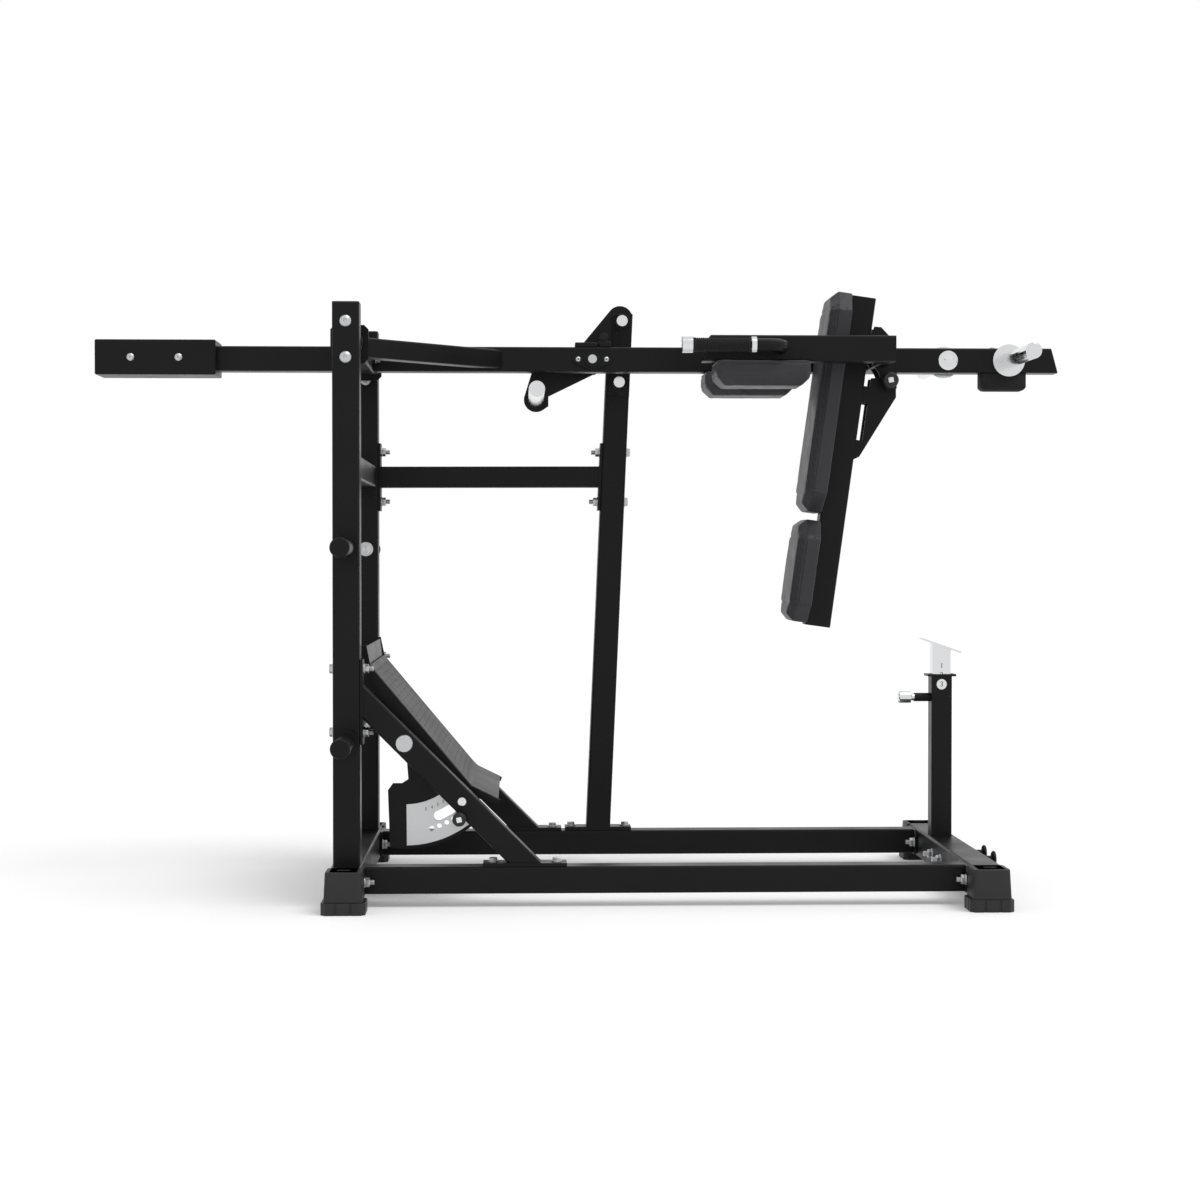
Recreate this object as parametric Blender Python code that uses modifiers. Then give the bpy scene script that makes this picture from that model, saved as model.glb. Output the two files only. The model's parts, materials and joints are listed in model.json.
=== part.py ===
"""Pendulum squat machine, built as its separate pieces.

Metres, +Z up. +X runs from the counterweight to the weight horns, and the side with the footplate scale is -Y
("near"). X and Y are zero at the middle of the machine's box, and Z is zero on the floor.
"""

import math

import bmesh
import bpy
from mathutils import Matrix, Vector

# Clearances
GAP = 0.0003
RUNNING = 0.0004

# Swing arm, measured from its pivot
PIVOT_Z = 1.667
COUNTERWEIGHT_REACH = 0.842
BEAM_REACH = 2.2536
BEAM_SLANT = 0.0215
PIVOT_X = (COUNTERWEIGHT_REACH - BEAM_REACH) / 2
COUNTERWEIGHT_RIGHT = -0.4592
COUNTERWEIGHT_HALF = 0.080
COUNTERWEIGHT_UP = 0.0566
COUNTERWEIGHT_DOWN = 0.0552
BEAM_SIDE = 0.2135
PIVOT_SHAFT = 0.020
PIVOT_TUBE_HALF = 0.330

# Square tubes
TUBE = 0.080
BRACE = 0.070
DIAGONAL = 0.060
WALL = 0.0035
CORNER = 0.006
CORNER_STEPS = 2

# Base
RAIL_SIDE = 0.453
CROSS = 0.092
CROSS_LOW = 0.032
CROSS_HALF = 0.637
REAR_REACH = 1.8797
BEAM_LOW = 0.039
FLANGE = 0.008
FLANGE_WIDTH = 0.160
FLANGE_CHAMFER = 0.020
FOOT_WIDTH = 0.129
FOOT_END = 0.650
FOOT_LENGTH = 0.120
FOOT_CAP = 0.008

# Uprights and their brace
UPRIGHT_TOP = 1.775
BRACE_Z = 1.296
BRACE_FLANGE = 0.224

# Lock post
POST_REACH = 0.770
POST_FOOT_WIDTH = 0.220
POST_LEAN = math.radians(2.494)
POST_TOP = 1.838
SLEEVE_LOW = 1.566
SLEEVE = 0.006
PIN_RADIUS = 0.018
PIN_END = 0.282
RACK_RADIUS = 0.8554
RACK_ANGLE = math.radians(9.15)
LOWER_RACK_RADIUS = 0.8374
LOWER_RACK_ANGLE = math.radians(-4.38)
LATCH_SWING = math.radians(13.8)

# Footplate and its rails
RAIL_MEET = 0.6516
RAIL_TOP_FLANGE = (0.479, 0.7285)
RAIL_FOOT_FLANGE = (0.4004, 0.6476)
TILT_X = 0.1691
TILT_Z = 0.4821
AXLE_RADIUS = 0.0125
CHEEK_SIDE = 0.370
SHEET = 0.006
SCALE_PITCH = math.radians(5)
SCALE_HOLES_LEFT = 4
SCALE_HOLES_RIGHT = 2
SCALE_RADIUS = 0.2735
SCALE_START = math.radians(-53.7)
SCALE_INNER = 0.190
SCALE_OUTER = 0.313
SCALE_LEFT = math.radians(-89.5)
SCALE_RIGHT = math.radians(-41.0)
SCALE_WINDOW_RADIUS = 0.2445
SCALE_WINDOW_HALF = 0.0145
SCALE_WINDOW = (math.radians(-66.6), math.radians(-56.5))
CARRIER = 0.006
SCALE_SHEET = 0.003
LOCK_PIN = 0.006
LOCK_HOLE = 0.0075

# Lever that hooks the arm on its rack pin
LEVER_X = 0.7433
LEVER_SHAFT = 0.014
HOOK_Y = (0.2905, 0.3025)
HOOK_THROAT = 0.0215
HOOK_LOBE = 0.0415
HOOK_FOOT = (-0.1803, -0.1224)
HOOK_FOOT_LOBE = 0.040
BAR_RADIUS = 0.025
BAR_END = -0.205

# Shoulder frame
SHOULDER_RIGHT = 1.6585
SHOULDER_LEFT = 1.0911
SHOULDER_SLANT = 0.0243
CROSSBAR = 0.035
PAD_X = (1.098, 1.397)
PAD_Z = 0.077
PAD_WIDTH = 0.213
PAD_CHAMFER = 0.028
HANDLE_SIDE = 0.360
HANDLE_RADIUS = 0.019
HANDLE_BEND_X = 1.304
HANDLE_BEND = 0.045
GRIP_X = (1.029, 1.203)
GRIP_RADIUS = 0.0215
COLLAR_RADIUS = 0.024
COLLAR_X = (0.995, 1.2207)

# Back rest
BACK_LEAN = math.radians(7.89)
BACK_TOP = (1.5500, 1.8535)
BACK_LENGTH = 1.045
BACK_PIVOT = (1.573, 1.683)
BACK_PADS = {"back_pad_upper": (-0.006, 0.699), "back_pad_lower": (0.711, 1.046)}
BACK_PAD_WIDTH = 0.300
BACK_PAD_THICKNESS = 0.070
BACK_PAD_CORNER = 0.060
BACK_PAD_BEVEL = 0.021
BACK_PIN = 0.010
GUSSET = 0.008
GUSSET_SIDE = 0.026
GUSSET_SPAN = (0.255, 0.512)
GUSSET_SLOTS = ((0.240, 0.2765), (0.330, 0.4475))
GUSSET_SLOT = 0.019
GUSSET_RIM = [(1.693, 1.600), (1.693, 1.533), (1.577, 1.346)]
BRACKET = 0.006
BRACKET_SIDE = 0.0415
BRACKET_OUTLINE = [
    (1.6227, 1.7537), (1.6440, 1.7520), (1.6680, 1.7260), (1.6930, 1.6400), (1.6930, 1.5600), (1.6600, 1.5500),
    (1.6350, 1.6100), (1.6150, 1.6400), (1.5550, 1.6550), (1.5480, 1.7000), (1.5700, 1.7200), (1.6100, 1.7250),
]
CLAMP = (1.667, 1.583)
CLAMP_SWING = math.radians(8)
CLAMP_KNOB = 0.025

# Weights and stops
HORN_RADIUS = 0.025
HORN_FLANGE = 0.052
HORN_LIP = 0.0255
STORAGE_FLANGE = 0.038
STORAGE_LIP = 0.029
NEAR_HORN_X = 2.0925
NEAR_HORN_END = -0.205
FAR_HORN_X = 1.8956
FAR_HORN_END = 0.640
BUMPER_X = (2.005, 2.152)
BUMPER_LOW = 1.570
STORAGE_HEIGHTS = (1.057, 0.486)
STORAGE_END = 0.740
CATCH_POST = 0.067
CATCH_WALL = 0.003
CATCH_TUBE = 0.060
CATCH_TOP = 0.6452
CATCH_BOTTOM = 0.300
CATCH_SLOPE = math.radians(19.2)
CATCH_PLATE_X = (1.818, 1.945)
CATCH_PLATE_Z = 0.743
CATCH_PITCH = 0.030
CATCH_HOLES_UP = 2
CATCH_HOLES_DOWN = 4
CATCH_PIN_Z = 0.574

# Colours are linear: red, green, blue, then roughness and metallic value
FINISHES = {
    "black_paint": (0.012, 0.012, 0.013, 0.42, 0.0),
    "chrome": (0.60, 0.60, 0.61, 0.16, 1.0),
    "zinc": (0.52, 0.52, 0.53, 0.30, 1.0),
    "rubber": (0.020, 0.020, 0.021, 0.75, 0.0),
    "plastic": (0.015, 0.015, 0.016, 0.50, 0.0),
    "vinyl": (0.055, 0.055, 0.058, 0.55, 0.0),
    "aluminium": (0.62, 0.62, 0.63, 0.35, 1.0),
}

UP = Vector((0, 0, 1))
NEAR, FAR = -1, 1
SIDES = (("near", NEAR), ("far", FAR))


# Scene and helpers


def clear_scene():
    for obj in list(bpy.data.objects):
        bpy.data.objects.remove(obj, do_unlink=True)


clear_scene()
PARTS = bpy.data.collections.new("pendulum_squat_machine")
TOOLS = bpy.data.collections.new("cutters_and_joins")
for collection in (PARTS, TOOLS):
    bpy.context.scene.collection.children.link(collection)


def at(offset, y, z):
    """A point that lies this far along X from the arm's pivot."""
    return Vector((PIVOT_X + offset, y, z))


def add(name, shape, matrix=None):
    """A new object from a bmesh, which is freed."""
    bmesh.ops.recalc_face_normals(shape, faces=shape.faces)
    mesh = bpy.data.meshes.new(name)
    shape.to_mesh(mesh)
    shape.free()
    obj = bpy.data.objects.new(name, mesh)
    obj.matrix_world = matrix or Matrix()
    PARTS.objects.link(obj)
    return obj


def frame_of(start, end):
    """Turn that lays local X from start to end, with local Z as near to upright as it goes."""
    along = (end - start).normalized()
    up = UP if abs(along.z) < 0.99 else Vector((1, 0, 0))
    side = up.cross(along).normalized()
    return Matrix((along, side, along.cross(side))).transposed().to_4x4()


def bar(name, start, end, width, height, wall=0.0, start_cut=None, end_cut=None, corner=CORNER):
    """A rectangular bar or tube, whose ends can be cut along planes with these normals."""
    start, end = Vector(start), Vector(end)
    length = (end - start).length
    turn = frame_of(start, end)
    shape = bmesh.new()
    bmesh.ops.create_cube(shape, size=1.0)
    bmesh.ops.scale(shape, vec=(length, width, height), verts=shape.verts)
    bmesh.ops.translate(shape, vec=(length / 2, 0, 0), verts=shape.verts)
    if corner:
        long_edges = [e for e in shape.edges if abs(e.verts[0].co.x - e.verts[1].co.x) > length / 2]
        bmesh.ops.bevel(
            shape, geom=long_edges, offset=corner, segments=CORNER_STEPS, profile=0.5, affect="EDGES"
        )
    if wall:
        ends = [face for face in shape.faces if abs(face.normal.x) > 0.9]
        bmesh.ops.inset_individual(shape, faces=ends, thickness=wall, use_even_offset=True)
        rims = [edge for face in ends for edge in face.edges]
        bmesh.ops.delete(shape, geom=ends, context="FACES_ONLY")
        bmesh.ops.bridge_loops(shape, edges=rims)
    for vert in shape.verts:
        at_start = vert.co.x < length / 2
        cut_normal = start_cut if at_start else end_cut
        if cut_normal is not None:
            normal = turn.to_3x3().inverted() @ Vector(cut_normal)
            slide = -(normal.y * vert.co.y + normal.z * vert.co.z) / normal.x
            vert.co.x = slide if at_start else length + slide
    return add(name, shape, Matrix.Translation(start) @ turn)


def block(name, low, high, bevel=0.0, along=None):
    """A box between two corners. The bevel takes every edge, or only those along one axis (0, 1 or 2)."""
    low, high = Vector(low), Vector(high)
    shape = bmesh.new()
    bmesh.ops.create_cube(shape, size=1.0)
    bmesh.ops.scale(shape, vec=high - low, verts=shape.verts)
    if bevel:
        edges = [
            e for e in shape.edges
            if along is None or abs(e.verts[0].co[along] - e.verts[1].co[along]) > 1e-6
        ]
        bmesh.ops.bevel(shape, geom=edges, offset=bevel, segments=1, profile=0.5, affect="EDGES")
    return add(name, shape, Matrix.Translation((low + high) / 2))


def rod(name, start, end, radius, sides=24):
    """A round bar between two points."""
    start, end = Vector(start), Vector(end)
    shape = bmesh.new()
    bmesh.ops.create_cone(
        shape, cap_ends=True, segments=sides, radius1=radius, radius2=radius, depth=(end - start).length
    )
    turn = (end - start).to_track_quat("Z", "Y").to_matrix().to_4x4()
    return add(name, shape, Matrix.Translation((start + end) / 2) @ turn)


def through(name, place, radius):
    """A cutter along Y, right through at this (offset, z)."""
    x, z = place
    return rod(name, at(x, -1, z), at(x, 1, z), radius)


def turned(name, profile, base, axis, steps=28):
    """A turned piece from (radius, height) points, down its outer side from the top."""
    shape = bmesh.new()
    points = [shape.verts.new((radius, 0, height)) for radius, height in profile]
    for first, second in zip(points, points[1:]):
        shape.edges.new((first, second))
    if profile[0][0] > 0:
        shape.edges.new((points[-1], points[0]))
    turn = Vector(axis).to_track_quat("Z", "Y").to_matrix().to_4x4()
    obj = add(name, shape, Matrix.Translation(base) @ turn)
    screw = obj.modifiers.new("Turn", "SCREW")
    screw.axis = "Z"
    screw.steps = screw.render_steps = steps
    screw.use_merge_vertices = True
    screw.merge_threshold = 1e-5
    return obj


def as_mesh(obj):
    """A curve made a mesh of the same name and place."""
    name, matrix = obj.name, obj.matrix_world.copy()
    bpy.context.view_layer.update()
    evaluated = obj.evaluated_get(bpy.context.evaluated_depsgraph_get())
    mesh = bpy.data.meshes.new_from_object(evaluated)
    bpy.data.objects.remove(obj, do_unlink=True)
    shape = bmesh.new()
    shape.from_mesh(mesh)
    bmesh.ops.remove_doubles(shape, verts=shape.verts, dist=1e-6)
    return add(name, shape, matrix)


def plate(name, outline, low_y, high_y):
    """A flat plate that lies in an XZ plane, from its outline in (offset from the pivot, Z)."""
    curve = bpy.data.curves.new(name, "CURVE")
    curve.dimensions = "2D"
    curve.fill_mode = "BOTH"
    curve.extrude = (high_y - low_y) / 2
    spline = curve.splines.new("POLY")
    spline.points.add(len(outline) - 1)
    for point, (x, z) in zip(spline.points, outline):
        point.co = (PIVOT_X + x, z, 0, 1)
    spline.use_cyclic_u = True
    obj = bpy.data.objects.new(name, curve)
    PARTS.objects.link(obj)
    upright = Matrix.Rotation(math.pi / 2, 4, "X")
    obj.matrix_world = Matrix.Translation((0, (low_y + high_y) / 2, 0)) @ upright
    return as_mesh(obj)


def lobed(name, circles, low_y, high_y, sides=28):
    """A plate in an XZ plane whose outline wraps round circles given as (offset, z, radius)."""
    shape = bmesh.new()
    for x, z, radius in circles:
        for step in range(sides):
            angle = 2 * math.pi * step / sides
            for y in (low_y, high_y):
                shape.verts.new((PIVOT_X + x + radius * math.cos(angle), y, z + radius * math.sin(angle)))
    hull = bmesh.ops.convex_hull(shape, input=shape.verts)
    left_over = hull["geom_interior"] + hull["geom_unused"]
    inside = {item for item in left_over if isinstance(item, bmesh.types.BMVert)}
    bmesh.ops.delete(shape, geom=list(inside), context="VERTS")
    return add(name, shape)


def use_tools(obj, others, operation):
    for other in others:
        PARTS.objects.unlink(other)
        TOOLS.objects.link(other)
        other.name = f"{obj.name}_{operation.lower()}_{len(obj.modifiers)}"
        other.hide_render = True
        other.display_type = "WIRE"
        modifier = obj.modifiers.new(operation.title(), "BOOLEAN")
        modifier.operation = operation
        modifier.object = other
    return obj


def join(obj, *others):
    return use_tools(obj, others, "UNION")


def cut(obj, *others):
    return use_tools(obj, others, "DIFFERENCE")


def welded_tube(name, start, end, size, plates, start_cut=None, end_cut=None, cutters=()):
    """A square tube with its end plates welded on, open right through."""
    start, end = Vector(start), Vector(end)
    past = (end - start).normalized() * size * 2
    tube = bar(name, start, end, size, size, 0.0, start_cut, end_cut)
    join(tube, *plates)
    inner = size - 2 * WALL
    return cut(tube, bar("bore", start - past, end + past, inner, inner, corner=0), *cutters)


def finish(obj, kind):
    """The piece's own material, from its finish."""
    red, green, blue, roughness, metallic = FINISHES[kind]
    material = bpy.data.materials.new(obj.name)
    material.use_nodes = True
    shader = material.node_tree.nodes["Principled BSDF"]
    shader.inputs["Base Color"].default_value = (red, green, blue, 1)
    shader.inputs["Roughness"].default_value = roughness
    shader.inputs["Metallic"].default_value = metallic
    obj.data.materials.clear()
    obj.data.materials.append(material)
    if obj.data.polygons:
        obj.data.shade_smooth()
        obj.data.set_sharp_from_angle(angle=math.radians(30))


def joint_axis(name, place, parent=None):
    """An empty on a joint's axis, which its pieces hang from."""
    empty = bpy.data.objects.new(name, None)
    empty.location = place
    PARTS.objects.link(empty)
    if parent:
        hang([empty], parent)
    return empty


def hang(pieces, empty):
    bpy.context.view_layer.update()
    for piece in pieces:
        piece.parent = empty
        piece.matrix_parent_inverse = empty.matrix_world.inverted()


def turn_about(centre, radius, angle):
    """A point on a circle in an XZ plane, as (offset, z)."""
    return centre[0] + radius * math.cos(angle), centre[1] + radius * math.sin(angle)


def arc(centre, radius, start, end, steps):
    return [turn_about(centre, radius, start + (end - start) * i / steps) for i in range(steps + 1)]


# Base


def crossmembers():
    made = []
    for name, offset in (("front_crossmember", 0.0), ("rear_crossmember", REAR_REACH)):
        z = CROSS_LOW + CROSS / 2
        ends = at(offset, -CROSS_HALF, z), at(offset, CROSS_HALF, z)
        made.append(bar(name, *ends, CROSS, CROSS, WALL))
    return made


def feet():
    made = []
    for place, offset in (("front", 0.0), ("rear", REAR_REACH)):
        for word, side in SIDES:
            outer = FOOT_END * side
            inner = (FOOT_END - FOOT_LENGTH) * side
            face = (CROSS_HALF + GAP) * side
            pad = block(
                f"foot_{place}_{word}",
                at(offset - FOOT_WIDTH / 2, min(inner, outer), 0),
                at(offset + FOOT_WIDTH / 2, max(inner, outer), CROSS_LOW - GAP),
                0.012,
                2,
            )
            cap = sorted((face, face + FOOT_CAP * side))
            top = CROSS_LOW + CROSS
            made.append(join(pad, block(
                "cap", at(offset - CROSS / 2, cap[0], CROSS_LOW / 2), at(offset + CROSS / 2, cap[1], top), 0.004, 1
            )))
    return made


def end_flange(offset, y, z, height, direction):
    """A chamfered flange plate, square to X, from a member's end face inwards."""
    low, high = sorted((offset, offset + FLANGE * direction))
    return block(
        "flange",
        at(low, y - FLANGE_WIDTH / 2, z - height / 2),
        at(high, y + FLANGE_WIDTH / 2, z + height / 2),
        FLANGE_CHAMFER,
        0,
    )


def base_beams():
    made = []
    start_x = CROSS / 2 + GAP
    end_x = REAR_REACH - CROSS / 2 - GAP
    z = BEAM_LOW + TUBE / 2
    for word, side in SIDES:
        y = RAIL_SIDE * side
        plates = (end_flange(start_x, y, z, TUBE, 1), end_flange(end_x, y, z, TUBE, -1))
        made.append(welded_tube(f"base_beam_{word}", at(start_x, y, z), at(end_x, y, z), TUBE, plates))
    return made


# Uprights


def uprights():
    made = []
    low = CROSS_LOW + CROSS + GAP
    for word, side in SIDES:
        y = RAIL_SIDE * side
        made.append(bar(f"upright_{word}", at(0, y, low), at(0, y, UPRIGHT_TOP), TUBE, TUBE, WALL))
    inner = RAIL_SIDE - TUBE / 2 - GAP
    made.append(bar("upright_brace", at(0, -inner, BRACE_Z), at(0, inner, BRACE_Z), BRACE, BRACE, WALL))
    return made


def post_centre(z):
    """The lock post's middle, as an offset, at this height."""
    return POST_REACH + math.tan(POST_LEAN) * (z - BEAM_LOW - TUBE)


def post_direction():
    return Vector((math.sin(POST_LEAN), 0, math.cos(POST_LEAN)))


def lock_post():
    foot_z = BEAM_LOW + TUBE + GAP
    foot_top = foot_z + 0.012
    start = at(post_centre(foot_top), RAIL_SIDE, foot_top - GAP)
    end = at(post_centre(POST_TOP), RAIL_SIDE, POST_TOP)
    foot = block(
        "foot",
        at(POST_REACH - POST_FOOT_WIDTH / 2, RAIL_SIDE - TUBE / 2, foot_z),
        at(POST_REACH + POST_FOOT_WIDTH / 2, RAIL_SIDE + TUBE / 2, foot_top),
    )
    sleeve_y = RAIL_SIDE - TUBE / 2 - SLEEVE / 2 + CORNER / 2
    sleeve = bar(
        "sleeve",
        at(post_centre(SLEEVE_LOW), sleeve_y, SLEEVE_LOW),
        at(post_centre(POST_TOP), sleeve_y, POST_TOP),
        SLEEVE + CORNER,
        TUBE,
        corner=0,
    )
    return welded_tube("lock_post", start, end, TUBE, (foot, sleeve), start_cut=UP)


def mid_brace():
    start_x = TUBE / 2 + GAP
    along = post_direction()
    square = Vector((math.cos(POST_LEAN), 0, -math.sin(POST_LEAN)))
    face = at(post_centre(BRACE_Z), RAIL_SIDE, BRACE_Z) - square * (TUBE / 2 + GAP)
    tall = along * BRACE_FLANGE / 2
    middle = face - square * FLANGE / 2
    plates = (
        block(
            "flange",
            at(start_x, RAIL_SIDE - TUBE / 2, BRACE_Z - BRACE_FLANGE / 2),
            at(start_x + FLANGE, RAIL_SIDE + TUBE / 2, BRACE_Z + BRACE_FLANGE / 2),
        ),
        bar("flange", middle - tall, middle + tall, TUBE, FLANGE, corner=0),
    )
    return welded_tube("mid_brace", at(start_x, RAIL_SIDE, BRACE_Z), face, BRACE, plates, end_cut=square)


def rack_point(angle, radius):
    return turn_about((0, PIVOT_Z), radius, angle)


def rack_pins():
    """Welded stubs that the hook hangs on. Both lie on the hook's path as the arm swings."""
    places = {
        "rack_pin_upper": rack_point(RACK_ANGLE, RACK_RADIUS),
        "rack_pin_lower": rack_point(LOWER_RACK_ANGLE, LOWER_RACK_RADIUS),
    }
    root = RAIL_SIDE - TUBE / 2 - SLEEVE - GAP
    return [rod(name, at(x, root, z), at(x, PIN_END, z), PIN_RADIUS) for name, (x, z) in places.items()]


def pivot_bearings():
    made = []
    for word, side in SIDES:
        face = (RAIL_SIDE - TUBE / 2 - GAP) * side
        flange = face - 0.014 * side
        housing = lobed(
            f"pivot_bearing_{word}",
            [(0, PIVOT_Z, 0.044), (0, PIVOT_Z + 0.053, 0.020), (0, PIVOT_Z - 0.053, 0.020)],
            *sorted((face, flange)),
        )
        boss = rod("boss", at(0, face - 0.004 * side, PIVOT_Z), at(0, face - 0.034 * side, PIVOT_Z), 0.040)
        bore = rod("bore", at(0, 0.5 * side, PIVOT_Z), at(0, 0.3 * side, PIVOT_Z), PIVOT_SHAFT + RUNNING)
        made.append(cut(join(housing, boss), bore))
    return made


def storage_horns():
    """Plate holders on the outer faces of the uprights."""
    made = []
    root = RAIL_SIDE + TUBE / 2 + GAP
    length = STORAGE_END - root
    profile = [(0, length), (STORAGE_LIP - 0.003, length), (STORAGE_LIP, length - 0.004)]
    profile += [(STORAGE_LIP, length - 0.014), (HORN_RADIUS, length - 0.018), (HORN_RADIUS, 0.008)]
    profile += [(STORAGE_FLANGE, 0.008), (STORAGE_FLANGE, 0), (0, 0)]
    for place, z in zip(("upper", "lower"), STORAGE_HEIGHTS):
        for word, side in SIDES:
            made.append(turned(f"storage_horn_{place}_{word}", profile, at(0, root * side, z), (0, side, 0)))
    return made


def band_pegs():
    """Flanged pegs for elastic bands, on the rear crossmember."""
    profile = [(0, 0.080), (0.024, 0.080), (0.027, 0.077), (0.027, 0.073), (0.024, 0.070), (0.012, 0.068)]
    profile += [(0.012, 0.008), (0.020, 0.006), (0.020, 0), (0, 0)]
    face = REAR_REACH + CROSS / 2 + GAP
    return [
        turned(f"band_peg_{word}", profile, at(face, y, CROSS_LOW + CROSS / 2), (1, 0, 0), 20)
        for word, y in (("near", -0.060), ("far", 0.090))
    ]


# Footplate


def footplate_rails():
    made = []
    start_x = TUBE / 2 + GAP
    foot_z = BEAM_LOW + TUBE + GAP
    start = (start_x + FLANGE / 2, RAIL_MEET - start_x - FLANGE / 2)
    end = (RAIL_MEET - foot_z - 0.005, foot_z + 0.005)
    for word, side in SIDES:
        y = RAIL_SIDE * side
        sides = y - TUBE / 2, y + TUBE / 2
        upper = block(
            "flange",
            at(start_x, sides[0], RAIL_TOP_FLANGE[0]),
            at(start_x + FLANGE, sides[1], RAIL_TOP_FLANGE[1]),
        )
        lower = block(
            "flange",
            at(RAIL_FOOT_FLANGE[0], sides[0], foot_z),
            at(RAIL_FOOT_FLANGE[1], sides[1], foot_z + 0.010),
        )
        plates = [upper, lower]
        axle_hole = rod("hole", at(TILT_X, y - 0.1, TILT_Z), at(TILT_X, y + 0.1, TILT_Z), AXLE_RADIUS + GAP)
        cutters = [axle_hole]
        if side == NEAR:
            x, z = turn_about((TILT_X, TILT_Z), SCALE_RADIUS, SCALE_START)
            plates.append(rod("guide", at(x, -RAIL_SIDE - 0.035, z), at(x, -RAIL_SIDE + 0.064, z), 0.014))
            cutters.append(rod("hole", at(x, -0.6, z), at(x, -0.3, z), LOCK_PIN + RUNNING, 16))
        made.append(welded_tube(
            f"footplate_rail_{word}", at(start[0], y, start[1]), at(end[0], y, end[1]), BRACE, plates,
            (1, 0, 0), UP, cutters,
        ))
    return made


def footplate_axle():
    half = RAIL_SIDE + BRACE / 2 + 0.004
    head = [(0, 0.006), (0.024, 0.006), (0.026, 0.003), (0.026, 0), (0, 0)]
    axle = rod("footplate_axle", at(TILT_X, -half, TILT_Z), at(TILT_X, half, TILT_Z), AXLE_RADIUS)
    face = RAIL_SIDE + BRACE / 2 + GAP
    heads = [turned("head", head, at(TILT_X, face * side, TILT_Z), (0, side, 0), 24) for _, side in SIDES]
    return join(axle, *heads)


def cheek_outline():
    """One side plate of the footplate, with the lug for the axle below it."""
    lug = arc((TILT_X, TILT_Z), 0.032, math.radians(-35), math.radians(-150), 6)
    return [
        (0.051, 0.768), (0.064, 0.703), (0.368, 0.340), (0.450, 0.303), (0.447, 0.290), (0.350, 0.318),
        (0.262, 0.420), *lug, (0.075, 0.620), (0.044, 0.700), (0.038, 0.766),
    ]


def footplate():
    """Tread between two cheeks. The tread is set a little below the cheeks' edges."""
    outline = cheek_outline()
    near = plate("footplate", outline, -CHEEK_SIDE, -CHEEK_SIDE + SHEET)
    far = plate("cheek", outline, CHEEK_SIDE - SHEET, CHEEK_SIDE)
    set_in = 0.010
    down = Vector((-math.sin(math.radians(50)), 0, -math.cos(math.radians(50)))) * set_in
    half = CHEEK_SIDE - SHEET / 2
    top = at(0.0630, 0, 0.7042) + down
    low = at(0.3650, 0, 0.3436) + down
    toe = at(0.4440, 0, 0.3050) + Vector((-0.005, 0, -0.009))
    tread = bar("tread", top, low, 2 * half, SHEET, corner=0)
    lip = bar("lip", low - (toe - low).normalized() * 0.004, toe, 2 * half, SHEET, corner=0)
    heel_top = at(0.0470, 0, 0.7620)
    heel = bar("heel", heel_top, top + (top - heel_top).normalized() * 0.003, 2 * half, SHEET, corner=0)
    body = join(near, far, tread, lip, heel)
    bore = through("bore", (TILT_X, TILT_Z), AXLE_RADIUS + RUNNING)
    return cut(body, bore)


def scale_holes():
    """The lock pin's holes, one for each tilt of the footplate."""
    holes = []
    for step in range(-SCALE_HOLES_RIGHT, SCALE_HOLES_LEFT + 1):
        x, z = turn_about((TILT_X, TILT_Z), SCALE_RADIUS, SCALE_START - step * SCALE_PITCH)
        holes.append(rod("hole", at(x, -0.5, z), at(x, -0.3, z), LOCK_HOLE, 16))
    return holes


def scale_window():
    """The long curved window beside the holes, with round ends."""
    centre = (TILT_X, TILT_Z)
    start, end = SCALE_WINDOW
    outline = arc(centre, SCALE_WINDOW_RADIUS + SCALE_WINDOW_HALF, start, end, 6)
    outline += arc(turn_about(centre, SCALE_WINDOW_RADIUS, end), SCALE_WINDOW_HALF, end, end + math.pi, 8)[1:-1]
    outline += arc(centre, SCALE_WINDOW_RADIUS - SCALE_WINDOW_HALF, end, start, 6)
    outline += arc(turn_about(centre, SCALE_WINDOW_RADIUS, start), SCALE_WINDOW_HALF, start + math.pi,
                   start + 2 * math.pi, 8)[1:-1]
    return plate("window", outline, -0.5, -0.3)


def sector_plate():
    """Black carrier that hangs from the axle and holds the angle scale."""
    centre = (TILT_X, TILT_Z)
    lug = arc(centre, 0.034, math.radians(0), math.radians(180), 8)
    rim = arc(centre, SCALE_OUTER + 0.010, SCALE_LEFT - math.radians(9), SCALE_RIGHT + math.radians(0.7), 14)
    left = [(-0.034, -0.030), (0.003, -0.064), (0.007, -0.115)]
    left += [(-0.012, -0.127), (-0.039, -0.127), (-0.054, -0.148)]
    right = [turn_about(centre, 0.150, SCALE_RIGHT), (TILT_X + 0.034, TILT_Z - 0.030)]
    outline = lug + [(TILT_X + x, TILT_Z + z) for x, z in left] + rim + right
    outer = -CHEEK_SIDE - GAP
    obj = plate("sector_plate", outline, outer - CARRIER, outer)
    bore = through("bore", (TILT_X, TILT_Z), AXLE_RADIUS + RUNNING)
    return cut(obj, bore, scale_window(), *scale_holes())


def angle_scale():
    """Bright sheet with the marks, on the carrier's outer face."""
    centre = (TILT_X, TILT_Z)
    outer = arc(centre, SCALE_OUTER, SCALE_LEFT, SCALE_RIGHT, 14)
    inner = arc(centre, SCALE_INNER, SCALE_RIGHT, SCALE_LEFT, 12)
    face = -CHEEK_SIDE - CARRIER - 2 * GAP
    sheet = plate("angle_scale", outer + inner, face - SCALE_SHEET, face)
    return cut(sheet, scale_window(), *scale_holes())


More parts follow.
